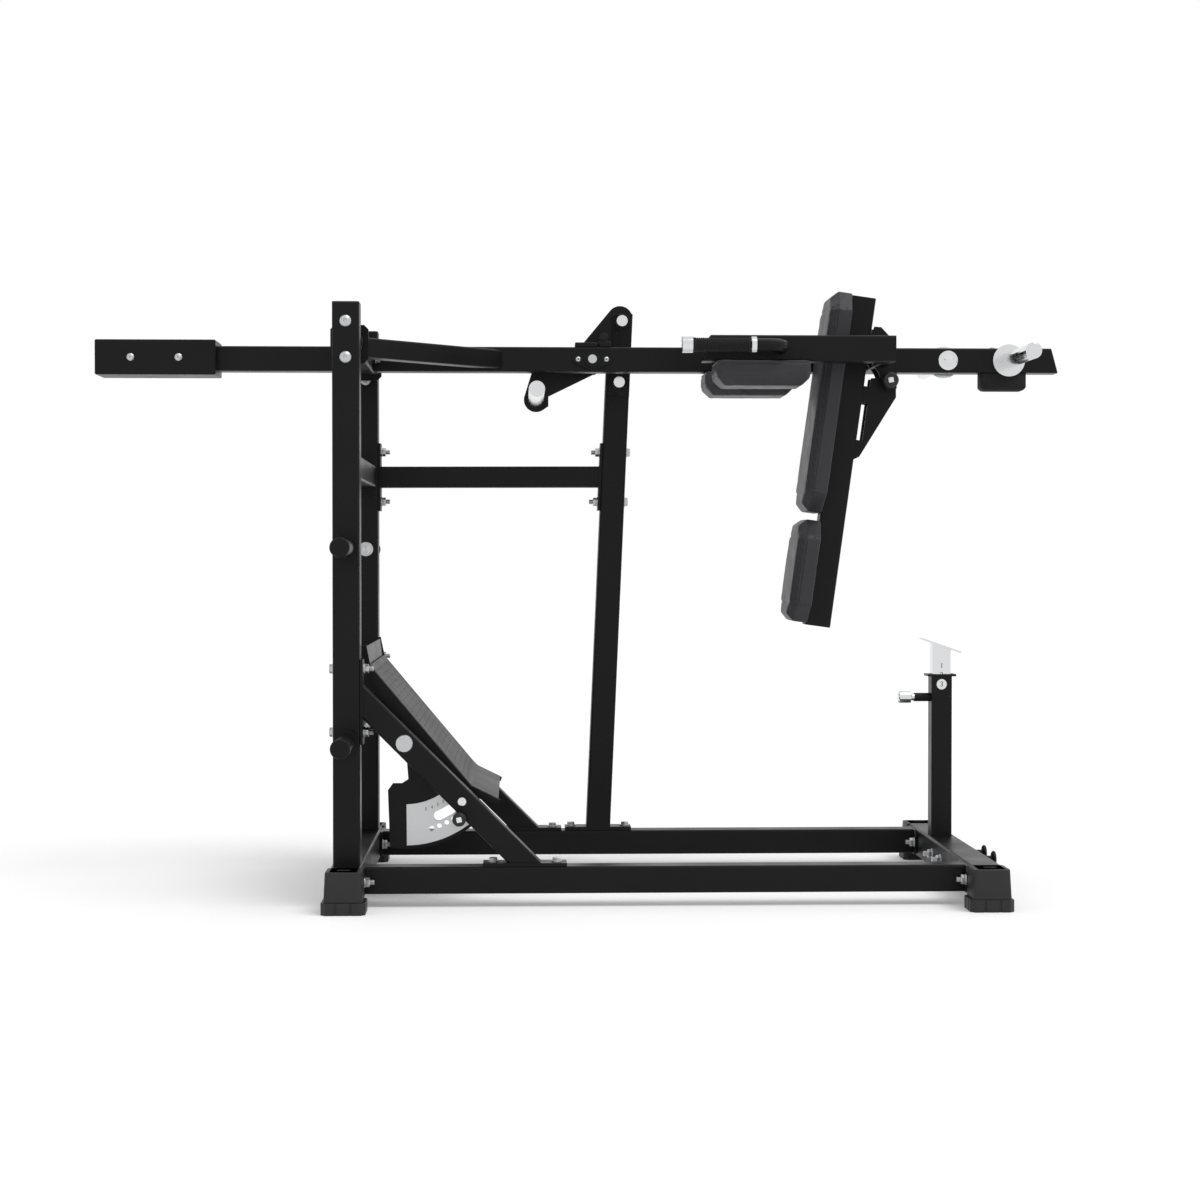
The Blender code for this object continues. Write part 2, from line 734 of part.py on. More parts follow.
def footplate_lock_pin():
    """Pull pin with a round knob, through the guide below the near rail."""
    x, z = turn_about((TILT_X, TILT_Z), SCALE_RADIUS, SCALE_START)
    face = -RAIL_SIDE - 0.035 - GAP
    length = 0.044
    profile = [(0, length), (0.017, length), (0.020, length - 0.004), (0.020, 0.018), (0.012, 0.012)]
    profile += [(0.012, 0.0), (0, 0)]
    knob = turned("footplate_lock_pin", profile, at(x, face, z), (0, -1, 0), 24)
    return join(knob, rod("pin", at(x, face - 0.004, z), at(x, -CHEEK_SIDE + 0.002, z), LOCK_PIN, 16))


# Catch for the arm


def catch_post():
    """Square post on the rear crossmember, with a collar at its top and a barrel for the pull pin."""
    low = CROSS_LOW + CROSS + GAP
    post = bar("catch_post", at(REAR_REACH, BEAM_SIDE, low), at(REAR_REACH, BEAM_SIDE, CATCH_TOP),
               CATCH_POST, CATCH_POST, corner=0.004)
    collar = block(
        "collar",
        at(REAR_REACH - CATCH_POST / 2 - 0.013, BEAM_SIDE - CATCH_POST / 2 - 0.004, CATCH_TOP - 0.002),
        at(REAR_REACH + CATCH_POST / 2 + 0.013, BEAM_SIDE + CATCH_POST / 2 + 0.004, CATCH_TOP + 0.005),
    )
    face = REAR_REACH - CATCH_POST / 2
    barrel_end = at(face - 0.052, BEAM_SIDE, CATCH_PIN_Z)
    barrel = rod("barrel", at(face + 0.001, BEAM_SIDE, CATCH_PIN_Z), barrel_end, 0.014)
    inner = CATCH_POST - 2 * CATCH_WALL
    bore = bar("bore", at(REAR_REACH, BEAM_SIDE, 0), at(REAR_REACH, BEAM_SIDE, 1), inner, inner, corner=0)
    hole = rod("hole", at(face + 0.02, BEAM_SIDE, CATCH_PIN_Z), at(face - 0.1, BEAM_SIDE, CATCH_PIN_Z),
               LOCK_PIN + RUNNING, 16)
    sight = rod("sight", at(REAR_REACH, BEAM_SIDE - 0.1, CATCH_TOP - 0.028),
                at(REAR_REACH, BEAM_SIDE, CATCH_TOP - 0.028), 0.017)
    return cut(join(post, collar, barrel), bore, hole, sight)


def catch_tube():
    """Chrome tube with a sloping head, which slides in the post and stops the arm."""
    slope = Vector((math.cos(CATCH_SLOPE), 0, -math.sin(CATCH_SLOPE)))
    head = at(REAR_REACH, BEAM_SIDE, CATCH_PLATE_Z)
    reach = (CATCH_PLATE_X[1] - CATCH_PLATE_X[0]) / 2 / math.cos(CATCH_SLOPE)
    normal = slope.cross(Vector((0, 1, 0)))
    inner = CATCH_TUBE - 2 * WALL
    tube = bar("catch_tube", at(REAR_REACH, BEAM_SIDE, CATCH_BOTTOM), head, CATCH_TUBE, CATCH_TUBE,
               end_cut=normal, corner=0.004)
    plate_bar = bar("head", head - slope * reach, head + slope * reach, CATCH_TUBE + 0.010, 0.006, corner=0)
    bore = bar("bore", at(REAR_REACH, BEAM_SIDE, 0), head - Vector((0, 0, 0.020)), inner, inner, corner=0)
    holes = [
        rod("hole", at(REAR_REACH, BEAM_SIDE, z), at(REAR_REACH - 0.1, BEAM_SIDE, z), LOCK_HOLE, 16)
        for z in (CATCH_PIN_Z + CATCH_PITCH * k for k in range(-CATCH_HOLES_DOWN, CATCH_HOLES_UP + 1))
    ]
    return cut(join(tube, plate_bar), bore, *holes)


def catch_lock_pin():
    face = REAR_REACH - CATCH_POST / 2 - 0.052 - GAP
    profile = [(0, 0.052), (0.017, 0.052), (0.020, 0.048), (0.020, 0.012), (0.012, 0.008), (0.012, 0), (0, 0)]
    knob = turned("catch_lock_pin", profile, at(face, BEAM_SIDE, CATCH_PIN_Z), (-1, 0, 0), 24)
    tip = REAR_REACH - CATCH_TUBE / 2 + 0.010
    return join(knob, rod("pin", at(face - 0.004, BEAM_SIDE, CATCH_PIN_Z), at(tip, BEAM_SIDE, CATCH_PIN_Z),
                          LOCK_PIN, 16))


# Swing arm


def pivot_tube():
    plate_y = PIVOT_TUBE_HALF
    tube = bar("pivot_tube", at(0, -plate_y, PIVOT_Z), at(0, plate_y, PIVOT_Z), TUBE, TUBE)
    plates = [
        block("plate", at(-0.057, plate_y * side - 0.004, PIVOT_Z - 0.058),
              at(0.057, plate_y * side + 0.004, PIVOT_Z + 0.058), 0.013, 1)
        for _, side in SIDES
    ]
    inner = TUBE - 2 * WALL
    bore = bar("bore", at(0, -plate_y + 0.004, PIVOT_Z), at(0, plate_y - 0.004, PIVOT_Z), inner, inner, corner=0)
    hole = through("hole", (0, PIVOT_Z), PIVOT_SHAFT + GAP)
    return cut(join(tube, *plates), bore, hole)


def pivot_shaft():
    half = RAIL_SIDE - TUBE / 2 - 0.005
    return rod("pivot_shaft", at(0, -half, PIVOT_Z), at(0, half, PIVOT_Z), PIVOT_SHAFT)


def main_beam():
    start_x = TUBE / 2 + GAP
    slant = Vector((TUBE, 0, BEAM_SLANT))
    end = at(BEAM_REACH - BEAM_SLANT / 2, BEAM_SIDE, PIVOT_Z)
    flange = end_flange(start_x, BEAM_SIDE, PIVOT_Z, TUBE, 1)
    hole = rod("hole", at(LEVER_X, 0, PIVOT_Z), at(LEVER_X, 0.5, PIVOT_Z), LEVER_SHAFT + 0.002)
    return welded_tube(
        "main_beam", at(start_x, BEAM_SIDE, PIVOT_Z), end, TUBE, (flange,), end_cut=slant, cutters=(hole,)
    )


def counterweight():
    """A heavy box round the tube that carries it."""
    start_x = -TUBE / 2 - GAP
    flange = end_flange(start_x, BEAM_SIDE, PIVOT_Z, TUBE, -1)
    tube = welded_tube(
        "counterweight_arm", at(start_x, BEAM_SIDE, PIVOT_Z),
        at(-COUNTERWEIGHT_REACH + 0.004, BEAM_SIDE, PIVOT_Z), TUBE, (flange,),
    )
    weight = block(
        "counterweight",
        at(-COUNTERWEIGHT_REACH, BEAM_SIDE - COUNTERWEIGHT_HALF, PIVOT_Z - COUNTERWEIGHT_DOWN),
        at(COUNTERWEIGHT_RIGHT, BEAM_SIDE + COUNTERWEIGHT_HALF, PIVOT_Z + COUNTERWEIGHT_UP),
        0.003,
    )
    size = TUBE + 2 * GAP
    bore_start = at(-COUNTERWEIGHT_REACH + 0.002, BEAM_SIDE, PIVOT_Z)
    bore = bar("bore", bore_start, at(0, BEAM_SIDE, PIVOT_Z), size, size, corner=CORNER)
    return [tube, cut(weight, bore)]


def diagonal_brace():
    start_x = TUBE / 2 + GAP
    end_y = BEAM_SIDE - TUBE / 2 - GAP
    start_y = -0.1976
    end_x = start_x + end_y - start_y
    return bar(
        "diagonal_brace", at(start_x, start_y, PIVOT_Z), at(end_x, end_y, PIVOT_Z), DIAGONAL, DIAGONAL, WALL,
        (1, 0, 0), (0, 1, 0),
    )


def shoulder_frame():
    y = -BEAM_SIDE
    slant = Vector((TUBE, 0, -SHOULDER_SLANT))
    left = at(SHOULDER_LEFT - SHOULDER_SLANT / 2, y, PIVOT_Z)
    right = at(SHOULDER_RIGHT, y, PIVOT_Z)
    tube = bar("shoulder_frame", left, right, TUBE, TUBE, start_cut=slant)
    cross_x = SHOULDER_RIGHT - CROSSBAR / 2
    end_y = BEAM_SIDE - TUBE / 2 - GAP
    ends = at(cross_x, y, PIVOT_Z), at(cross_x, end_y, PIVOT_Z)
    crossbar = bar("crossbar", *ends, CROSSBAR, TUBE, corner=0.004)
    inner = TUBE - 2 * WALL
    bore = bar("bore", at(SHOULDER_LEFT - 0.1, y, PIVOT_Z), at(SHOULDER_RIGHT - WALL, y, PIVOT_Z), inner, inner,
               corner=0)
    past = at(cross_x, end_y + 0.1, PIVOT_Z)
    cross_bore = bar("bore", ends[0], past, CROSSBAR - 2 * WALL, inner, corner=0)
    return cut(join(tube, crossbar), bore, cross_bore)


def shoulder_pads():
    made = []
    top = PIVOT_Z - TUBE / 2 - GAP
    for word, side in SIDES:
        y = BEAM_SIDE * side
        made.append(block(
            f"shoulder_pad_{word}",
            at(PAD_X[0], y - PAD_WIDTH / 2, top - PAD_Z),
            at(PAD_X[1], y + PAD_WIDTH / 2, top),
            PAD_CHAMFER,
        ))
    return made


def handles():
    """Bent handle tubes with ribbed grips, one on each side of the shoulder frame."""
    made = []
    bend = HANDLE_BEND
    for word, side in SIDES:
        curve = bpy.data.curves.new("handle", "CURVE")
        curve.dimensions = "3D"
        curve.bevel_depth = HANDLE_RADIUS
        curve.bevel_resolution = 4
        curve.use_fill_caps = True
        corner = Vector((HANDLE_BEND_X - bend, (HANDLE_SIDE - bend) * side, 0))
        turns = [math.radians(15 * step) for step in range(7)]
        bent = [corner + Vector((bend * math.sin(a), bend * math.cos(a) * side, 0)) for a in turns]
        face = (BEAM_SIDE + TUBE / 2 + GAP) * side
        path = [Vector((COLLAR_X[0] + 0.002, HANDLE_SIDE * side, 0)), *bent, Vector((HANDLE_BEND_X, face, 0))]
        spline = curve.splines.new("POLY")
        spline.points.add(len(path) - 1)
        for point, place in zip(spline.points, path):
            point.co = (*at(place.x, place.y, PIVOT_Z), 1)
        tube = bpy.data.objects.new(f"handle_{word}", curve)
        PARTS.objects.link(tube)
        y = HANDLE_SIDE * side
        collars = [
            rod("collar", at(low, y, PIVOT_Z), at(high, y, PIVOT_Z), COLLAR_RADIUS)
            for low, high in ((COLLAR_X[0], GRIP_X[0] - GAP), (GRIP_X[1] + GAP, COLLAR_X[1]))
        ]
        made.append(join(as_mesh(tube), *collars))
        length = GRIP_X[1] - GRIP_X[0]
        bore = HANDLE_RADIUS + 0.0005
        profile = [(bore, length), (GRIP_RADIUS, length), (GRIP_RADIUS, 0), (bore, 0)]
        made.append(turned(f"grip_{word}", profile, at(GRIP_X[0], y, PIVOT_Z), (1, 0, 0), 24))
    return made


def weight_horns():
    """Sleeves for the discs that load the arm."""
    made = []
    places = {"near": (NEAR_HORN_X, NEAR, NEAR_HORN_END), "far": (FAR_HORN_X, FAR, FAR_HORN_END)}
    for word, (x, side, end) in places.items():
        root = BEAM_SIDE + (TUBE / 2 + GAP) * side
        length = abs(end - root)
        profile = [(0, length), (HORN_RADIUS - 0.003, length), (HORN_LIP, length - 0.003)]
        profile += [(HORN_LIP, length - 0.012), (HORN_RADIUS, length - 0.013), (HORN_RADIUS, 0.010)]
        profile += [(HORN_FLANGE, 0.010), (HORN_FLANGE, 0), (0, 0)]
        made.append(turned(f"weight_horn_{word}", profile, at(x, root, PIVOT_Z), (0, side, 0)))
    return made


def bumper():
    top = PIVOT_Z - TUBE / 2 - GAP
    low = at(BUMPER_X[0], BEAM_SIDE - 0.035, BUMPER_LOW)
    return block("bumper", low, at(BUMPER_X[1], BEAM_SIDE + 0.035, top), 0.014, 1)


# Lever


def lever_bearings():
    made = []
    for word, side in SIDES:
        face = BEAM_SIDE + (TUBE / 2 + GAP) * side
        flange = lobed(
            f"lever_bearing_{word}",
            [(LEVER_X, PIVOT_Z, 0.034), (LEVER_X - 0.047, PIVOT_Z, 0.016), (LEVER_X + 0.047, PIVOT_Z, 0.016)],
            *sorted((face, face + 0.010 * side)),
        )
        boss_end = at(LEVER_X, face + 0.018 * side, PIVOT_Z)
        boss = rod("boss", at(LEVER_X, face + 0.002 * side, PIVOT_Z), boss_end, 0.027)
        bore = rod("bore", at(LEVER_X, 0, PIVOT_Z), at(LEVER_X, 0.5, PIVOT_Z), LEVER_SHAFT + RUNNING)
        made.append(cut(join(flange, boss), bore))
    return made


def lever_shaft():
    near_end = BEAM_SIDE - TUBE / 2 - 0.022
    return rod("lever_shaft", at(LEVER_X, near_end, PIVOT_Z), at(LEVER_X, HOOK_Y[1] + 0.006, PIVOT_Z), LEVER_SHAFT)


def from_lever(x, z):
    """A point this far from the lever's axis, as (offset, z)."""
    return LEVER_X + x, PIVOT_Z + z


def hook_plate():
    """Hook over the rack pin, hub on the shaft, and a lower lobe for the release bar.

    The slot's upper end has a seat for each rack pin: the right one holds the upper pin with the arm at
    rest, and the left one meets the lower pin when the arm has swung down to it.
    """
    low_y, high_y = HOOK_Y
    past = 0.01
    seat = rack_point(RACK_ANGLE, RACK_RADIUS)
    other_seat = rack_point(LOWER_RACK_ANGLE + LATCH_SWING, LOWER_RACK_RADIUS)
    slot_left = other_seat[0] - HOOK_THROAT + 0.003
    lobe = (seat[0] - 0.0072, seat[1] + 0.0070, HOOK_LOBE)
    hub = (*from_lever(0, 0), 0.040)
    shoulder = (*from_lever(-0.022, 0.052), 0.010)
    throat_side = (slot_left - 0.010, PIVOT_Z + 0.060, 0.010)
    foot = (*from_lever(*HOOK_FOOT), HOOK_FOOT_LOBE)
    back = (*from_lever(-0.163, 0), 0.020)
    upper = lobed("hook_plate", [lobe, hub, shoulder, throat_side], low_y, high_y)
    lower = lobed("lower", [foot, hub, back], low_y, high_y)
    foot_right = HOOK_FOOT[0] + HOOK_FOOT_LOBE + GAP
    below = plate("below", [
        from_lever(foot_right, -0.1115), from_lever(0.006, -0.0402), from_lever(0.08, -0.0402),
        from_lever(0.08, -0.25), from_lever(foot_right, -0.25),
    ], low_y - past, high_y + past)
    reach = math.hypot(seat[0] - LEVER_X, seat[1] - PIVOT_Z)
    start = math.atan2(seat[1] - PIVOT_Z, seat[0] - LEVER_X)
    centre = (LEVER_X, PIVOT_Z)
    band = arc(centre, reach + HOOK_THROAT, start, math.radians(5), 8)
    band += arc(centre, reach - HOOK_THROAT, math.radians(5), start, 8)
    throat = plate("throat", band, low_y - past, high_y + past)
    seats = lobed("seats", [(*seat, HOOK_THROAT), (*other_seat, HOOK_THROAT)], low_y - past, high_y + past)
    mouth = block("mouth", at(slot_left, low_y - past, PIVOT_Z - 0.060), at(LEVER_X + 0.3, high_y + past, seat[1]))
    bore = rod("bore", at(LEVER_X, 0, PIVOT_Z), at(LEVER_X, 0.5, PIVOT_Z), LEVER_SHAFT + GAP)
    return cut(join(upper, lower), below, throat, seats, mouth, bore)


def release_bar():
    x, z = from_lever(HOOK_FOOT[0] - 0.001, HOOK_FOOT[1])
    bar_end = HOOK_Y[0] - GAP
    tube = rod("release_bar", at(x, BAR_END, z), at(x, bar_end, z), BAR_RADIUS, 32)
    return cut(tube, rod("bore", at(x, BAR_END + 0.006, z), at(x, 0.5, z), BAR_RADIUS - 0.003))


# Back rest


def along_back(distance, across=0.0):
    """A point on the back tube's line: this far down from its top, and this far behind its front face."""
    down = Vector((-math.sin(BACK_LEAN), 0, -math.cos(BACK_LEAN)))
    behind = Vector((math.cos(BACK_LEAN), 0, -math.sin(BACK_LEAN)))
    place = Vector((BACK_TOP[0], 0, BACK_TOP[1])) + down * distance + behind * across
    return place.x, place.z


def back_post():
    """Tube behind the pads, with a slotted quadrant on its rear face for the clamp."""
    top = along_back(0, TUBE / 2)
    low = along_back(BACK_LENGTH, TUBE / 2)
    tube = bar("back_post", at(top[0], 0, top[1]), at(low[0], 0, low[1]), TUBE, TUBE)
    rear = TUBE - 0.004
    outline = [along_back(GUSSET_SPAN[0], rear), *GUSSET_RIM, along_back(GUSSET_SPAN[1], rear)]
    faces = [sorted((GUSSET_SIDE * side, (GUSSET_SIDE + GUSSET) * side)) for _, side in SIDES]
    gussets = [plate("gusset", outline, *pair) for pair in faces]
    inner = TUBE - 2 * WALL
    past_top, past_low = along_back(-0.1, TUBE / 2), along_back(BACK_LENGTH + 0.1, TUBE / 2)
    bore = bar("bore", at(past_top[0], 0, past_top[1]), at(past_low[0], 0, past_low[1]), inner, inner, corner=0)
    pivot_hole = through("hole", BACK_PIVOT, BACK_PIN + RUNNING)
    reach = math.hypot(CLAMP[0] - BACK_PIVOT[0], CLAMP[1] - BACK_PIVOT[1])
    middle = math.atan2(CLAMP[1] - BACK_PIVOT[1], CLAMP[0] - BACK_PIVOT[0])
    slot_outline = arc(BACK_PIVOT, reach + LOCK_HOLE, middle - CLAMP_SWING, middle + CLAMP_SWING, 6)
    slot_outline += arc(BACK_PIVOT, reach - LOCK_HOLE, middle + CLAMP_SWING, middle - CLAMP_SWING, 6)
    slot = plate("slot", slot_outline, -0.1, 0.1)
    past_side = TUBE + GAP + GUSSET_SLOT / 2
    lines = [(along_back(first, past_side), along_back(last, past_side)) for first, last in GUSSET_SLOTS]
    slots = [
        bar("slot", at(first[0], 0, first[1]), at(last[0], 0, last[1]), 0.2, GUSSET_SLOT, corner=0)
        for first, last in lines
    ]
    return cut(join(tube, *gussets), bore, pivot_hole, slot, *slots)


def back_pads():
    """Cushions on the post's front face, with cut corners and a bevelled front edge."""
    made = []
    for name, (top, low) in BACK_PADS.items():
        across = -GAP - BACK_PAD_THICKNESS / 2
        (top_x, top_z), (low_x, low_z) = along_back(top, across), along_back(low, across)
        start, end = at(top_x, 0, top_z), at(low_x, 0, low_z)
        length = (end - start).length
        shape = bmesh.new()
        bmesh.ops.create_cube(shape, size=1.0)
        bmesh.ops.scale(shape, vec=(length, BACK_PAD_WIDTH, BACK_PAD_THICKNESS), verts=shape.verts)
        thick = [e for e in shape.edges if abs(e.verts[0].co.z - e.verts[1].co.z) > BACK_PAD_THICKNESS / 2]
        bmesh.ops.bevel(shape, geom=thick, offset=BACK_PAD_CORNER, segments=1, profile=0.5, affect="EDGES")
        front = [e for e in shape.edges if all(vert.co.z < -BACK_PAD_THICKNESS / 2 + 1e-5 for vert in e.verts)]
        bmesh.ops.bevel(shape, geom=front, offset=BACK_PAD_BEVEL, segments=1, profile=0.5, affect="EDGES")
        made.append(add(name, shape, Matrix.Translation((start + end) / 2) @ frame_of(start, end)))
    return made


def back_bracket():
    """Two plates on the crossbar that hold the back rest's pivot and its clamp."""
    low, high = BRACKET_SIDE, BRACKET_SIDE + BRACKET
    near = plate("back_bracket", BRACKET_OUTLINE, -high, -low)
    far = plate("bracket", BRACKET_OUTLINE, low, high)
    tie = block("tie", at(SHOULDER_RIGHT + GAP, -high, 1.640), at(SHOULDER_RIGHT + 0.0083, high, 1.694))
    window = block(
        "window",
        at(SHOULDER_RIGHT - CROSSBAR - GAP, -0.1, PIVOT_Z - TUBE / 2 - GAP),
        at(SHOULDER_RIGHT + GAP, 0.1, PIVOT_Z + TUBE / 2 + GAP),
    )
    holes = [through("hole", BACK_PIVOT, BACK_PIN + RUNNING), through("hole", CLAMP, LOCK_PIN + RUNNING)]
    return cut(join(near, far, tie), window, *holes)


def back_pivot_pin():
    half = BRACKET_SIDE + BRACKET + GAP
    head = [(0, 0.006), (0.014, 0.006), (0.016, 0.003), (0.016, 0), (0, 0)]
    x, z = BACK_PIVOT
    heads = [turned("head", head, at(x, half * side, z), (0, side, 0), 20) for _, side in SIDES]
    pin = rod("back_pivot_pin", at(x, -half - 0.002, z), at(x, half + 0.002, z), BACK_PIN)
    return join(pin, *heads)


def back_clamp_knob():
    x, z = CLAMP
    face = -BRACKET_SIDE - BRACKET - GAP
    profile = [(0, 0.052), (CLAMP_KNOB - 0.004, 0.052), (CLAMP_KNOB, 0.047), (CLAMP_KNOB, 0.026), (0.013, 0.020)]
    profile += [(0.013, 0), (0, 0)]
    knob = turned("back_clamp_knob", profile, at(x, face, z), (0, -1, 0), 24)
    screw_end = at(x, BRACKET_SIDE + BRACKET + 0.0085, z)
    return join(knob, rod("screw", at(x, face - 0.004, z), screw_end, LOCK_PIN, 16))


# Assembly


def main():
    painted = [*crossmembers(), *base_beams(), *uprights(), lock_post(), mid_brace()]
    painted += [*footplate_rails(), catch_post()]
    bearings = pivot_bearings()
    chromed = [*rack_pins(), footplate_axle()]
    plastic = [*feet(), *storage_horns(), *band_pegs()]

    arm_axis = joint_axis("arm_pivot", at(0, 0, PIVOT_Z))
    weight = counterweight()
    arm_painted = [pivot_tube(), main_beam(), diagonal_brace(), shoulder_frame(), back_bracket(), *weight]
    lever_housings = lever_bearings()
    pads = shoulder_pads()
    handle_pieces = handles()
    horns = weight_horns()
    stop = bumper()
    shaft = pivot_shaft()
    pin = back_pivot_pin()
    hang([*arm_painted, *lever_housings, *pads, *handle_pieces, *horns, stop, shaft, pin], arm_axis)

    lever_axis = joint_axis("lever_pivot", at(LEVER_X, 0, PIVOT_Z), arm_axis)
    hook, lever_rod, release = hook_plate(), lever_shaft(), release_bar()
    hang([hook, lever_rod, release], lever_axis)

    back_axis = joint_axis("back_pivot", at(BACK_PIVOT[0], 0, BACK_PIVOT[1]), arm_axis)
    post, back_cushions = back_post(), back_pads()
    hang([post, *back_cushions], back_axis)
    clamp_axis = joint_axis("clamp_axis", at(CLAMP[0], 0, CLAMP[1]), arm_axis)
    clamp = back_clamp_knob()
    hang([clamp], clamp_axis)

    tilt_axis = joint_axis("footplate_pivot", at(TILT_X, 0, TILT_Z))
    tread, carrier, scale = footplate(), sector_plate(), angle_scale()
    hang([tread, carrier, scale], tilt_axis)
    foot_pin = footplate_lock_pin()
    hang([foot_pin], joint_axis("footplate_pin_axis", foot_pin.matrix_world.translation))

    slider = catch_tube()
    hang([slider], joint_axis("catch_axis", at(REAR_REACH, BEAM_SIDE, CATCH_PIN_Z)))
    catch_pin = catch_lock_pin()
    hang([catch_pin], joint_axis("catch_pin_axis", catch_pin.matrix_world.translation))

    for kind, pieces in {
        "black_paint": [*painted, *bearings, *arm_painted, *lever_housings, hook, post, tread, carrier],
        "chrome": [*chromed, *horns, shaft, pin, lever_rod, release, slider, catch_pin],
        "plastic": [*plastic, foot_pin, clamp],
        "vinyl": [*pads, *back_cushions],
        "rubber": [stop, *[piece for piece in handle_pieces if piece.name.startswith("grip")]],
        "zinc": [piece for piece in handle_pieces if piece.name.startswith("handle")],
        "aluminium": [scale],
    }.items():
        for piece in pieces:
            finish(piece, kind)


main()
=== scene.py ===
"""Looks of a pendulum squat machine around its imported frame, laid out as an add-on and run as a script."""

import json
import math

import bmesh
import bpy
from mathutils import Matrix, Vector


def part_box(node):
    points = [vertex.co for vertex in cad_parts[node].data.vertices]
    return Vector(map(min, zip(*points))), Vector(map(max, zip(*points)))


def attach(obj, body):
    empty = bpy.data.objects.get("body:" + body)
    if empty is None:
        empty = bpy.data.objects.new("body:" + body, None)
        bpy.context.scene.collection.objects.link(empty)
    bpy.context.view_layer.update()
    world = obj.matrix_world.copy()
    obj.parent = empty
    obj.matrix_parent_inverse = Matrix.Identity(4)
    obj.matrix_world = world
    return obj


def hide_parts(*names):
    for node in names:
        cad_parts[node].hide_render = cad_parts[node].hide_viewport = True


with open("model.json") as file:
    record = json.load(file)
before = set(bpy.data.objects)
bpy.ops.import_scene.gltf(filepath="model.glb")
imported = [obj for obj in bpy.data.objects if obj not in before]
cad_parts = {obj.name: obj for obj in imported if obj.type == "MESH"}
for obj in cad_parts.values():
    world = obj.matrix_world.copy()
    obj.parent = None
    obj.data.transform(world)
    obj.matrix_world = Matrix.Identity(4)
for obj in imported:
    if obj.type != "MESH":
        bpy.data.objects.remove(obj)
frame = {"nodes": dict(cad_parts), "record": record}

bl_info = {
    "name": "Pendulum squat machine",
    "version": (1, 0, 0),
    "blender": (4, 5, 0),
    "location": "View3D > Sidebar > Squat machine",
    "description": "Finishes, pads, bolts and trim of a pendulum squat machine",
    "category": "Object",
}

# Places taken from the frame
X_AXIS = Vector((1, 0, 0))
Y_AXIS = Vector((0, 1, 0))
Z_AXIS = Vector((0, 0, 1))
SHAFT_LOW, SHAFT_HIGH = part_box("pivot_shaft")
PIVOT = (SHAFT_LOW + SHAFT_HIGH) / 2
LEVER_LOW, LEVER_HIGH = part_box("lever_shaft")
LEVER = (LEVER_LOW + LEVER_HIGH) / 2
AXLE_LOW, AXLE_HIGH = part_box("footplate_axle")
AXLE = (AXLE_LOW + AXLE_HIGH) / 2
BEAM_LOW, BEAM_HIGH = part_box("main_beam")
BEAM_SIDE = (BEAM_LOW.y + BEAM_HIGH.y) / 2
TUBE = 0.080
RAIL_SIDE = 0.453
POST_LEAN = math.radians(2.494)
BACK_LEAN = math.radians(7.89)
HANDLE_SIDE = 0.360
TREAD_HALF = 0.359
SHEET = 0.0025
CATCH_TUBE = 0.060
PRINT_GAP = 0.0003
SCALE_START = math.radians(-53.7)
SCALE_PITCH = math.radians(5)
NUMBER_RADIUS = 0.213
PAD_THICKNESS = 0.070
PAD_HALF_WIDTH = 0.150
PAD_CORNER = 0.060
PAD_SLOPE = 0.022
PAD_END_SEAM = 0.062
FINISH_OF_SLOT = {
    "black_paint": "powder_coat",
    "chrome": "chrome_plate",
    "zinc": "zinc_plate",
    "black_plastic": "moulded_plastic",
    "black_rubber": "moulded_rubber",
    "vinyl": "smooth_vinyl",
    "bare_aluminium": "brushed_aluminium",
}


def linear(code):
    """Linear colour of an sRGB hex code."""
    colour = []
    for start in (0, 2, 4):
        value = int(code[start:start + 2], 16) / 255
        colour.append(value / 12.92 if value <= 0.04045 else ((value + 0.055) / 1.055) ** 2.4)
    return (*colour, 1.0)


def at(offset, side, height):
    """A point that lies an offset to the right of the arm's pivot."""
    return Vector((PIVOT.x + offset, side, height))


def post_centre(height):
    """Offset of the leaning lock post's centre line at a height."""
    return 0.770 + math.tan(POST_LEAN) * (height - 0.119)


# Settings
def colour_setting(name, description, code):
    """A colour that a user can change, from an sRGB hex code."""
    return bpy.props.FloatVectorProperty(
        name=name, description=description, subtype="COLOR", size=4, default=linear(code), min=0, max=1)


def length_setting(name, description, default, low, high):
    """A length in metres that a user can change."""
    return bpy.props.FloatProperty(
        name=name, description=description, unit="LENGTH", default=default, min=low, max=high)


class SquatColours(bpy.types.PropertyGroup):
    """Colours of the finishes."""

    paint: colour_setting("Powder coat", "Paint of the steel tubes", "0a0a0a")
    chrome: colour_setting("Chrome", "Chrome plate of the sleeves and the catch", "d6d7d8")
    zinc: colour_setting("Zinc", "Zinc plate of the bolts and nuts", "c9cbcc")
    plastic: colour_setting("Plastic", "Moulded feet, caps and knobs", "1c1c1c")
    rubber: colour_setting("Rubber", "Grips and bumper", "1b1b1b")
    vinyl: colour_setting("Vinyl", "Cover of the pads", "26262a")
    dots: colour_setting("Vinyl dots", "Raised dots on the pads' slanted edges", "46464a")
    tread: colour_setting("Tread", "Grey coat of the footplate's tread", "696969")
    scale: colour_setting("Scale", "Brushed sheet of the angle scale", "e2e3e4")
    insert: colour_setting("Knob insert", "Light insert in the knobs", "e9e9e9")
    ink: colour_setting("Ink", "Numbers on the scale and on the catch", "3a3a3c")
    floor: colour_setting("Floor", "Pale studio floor", "f3f3f3")


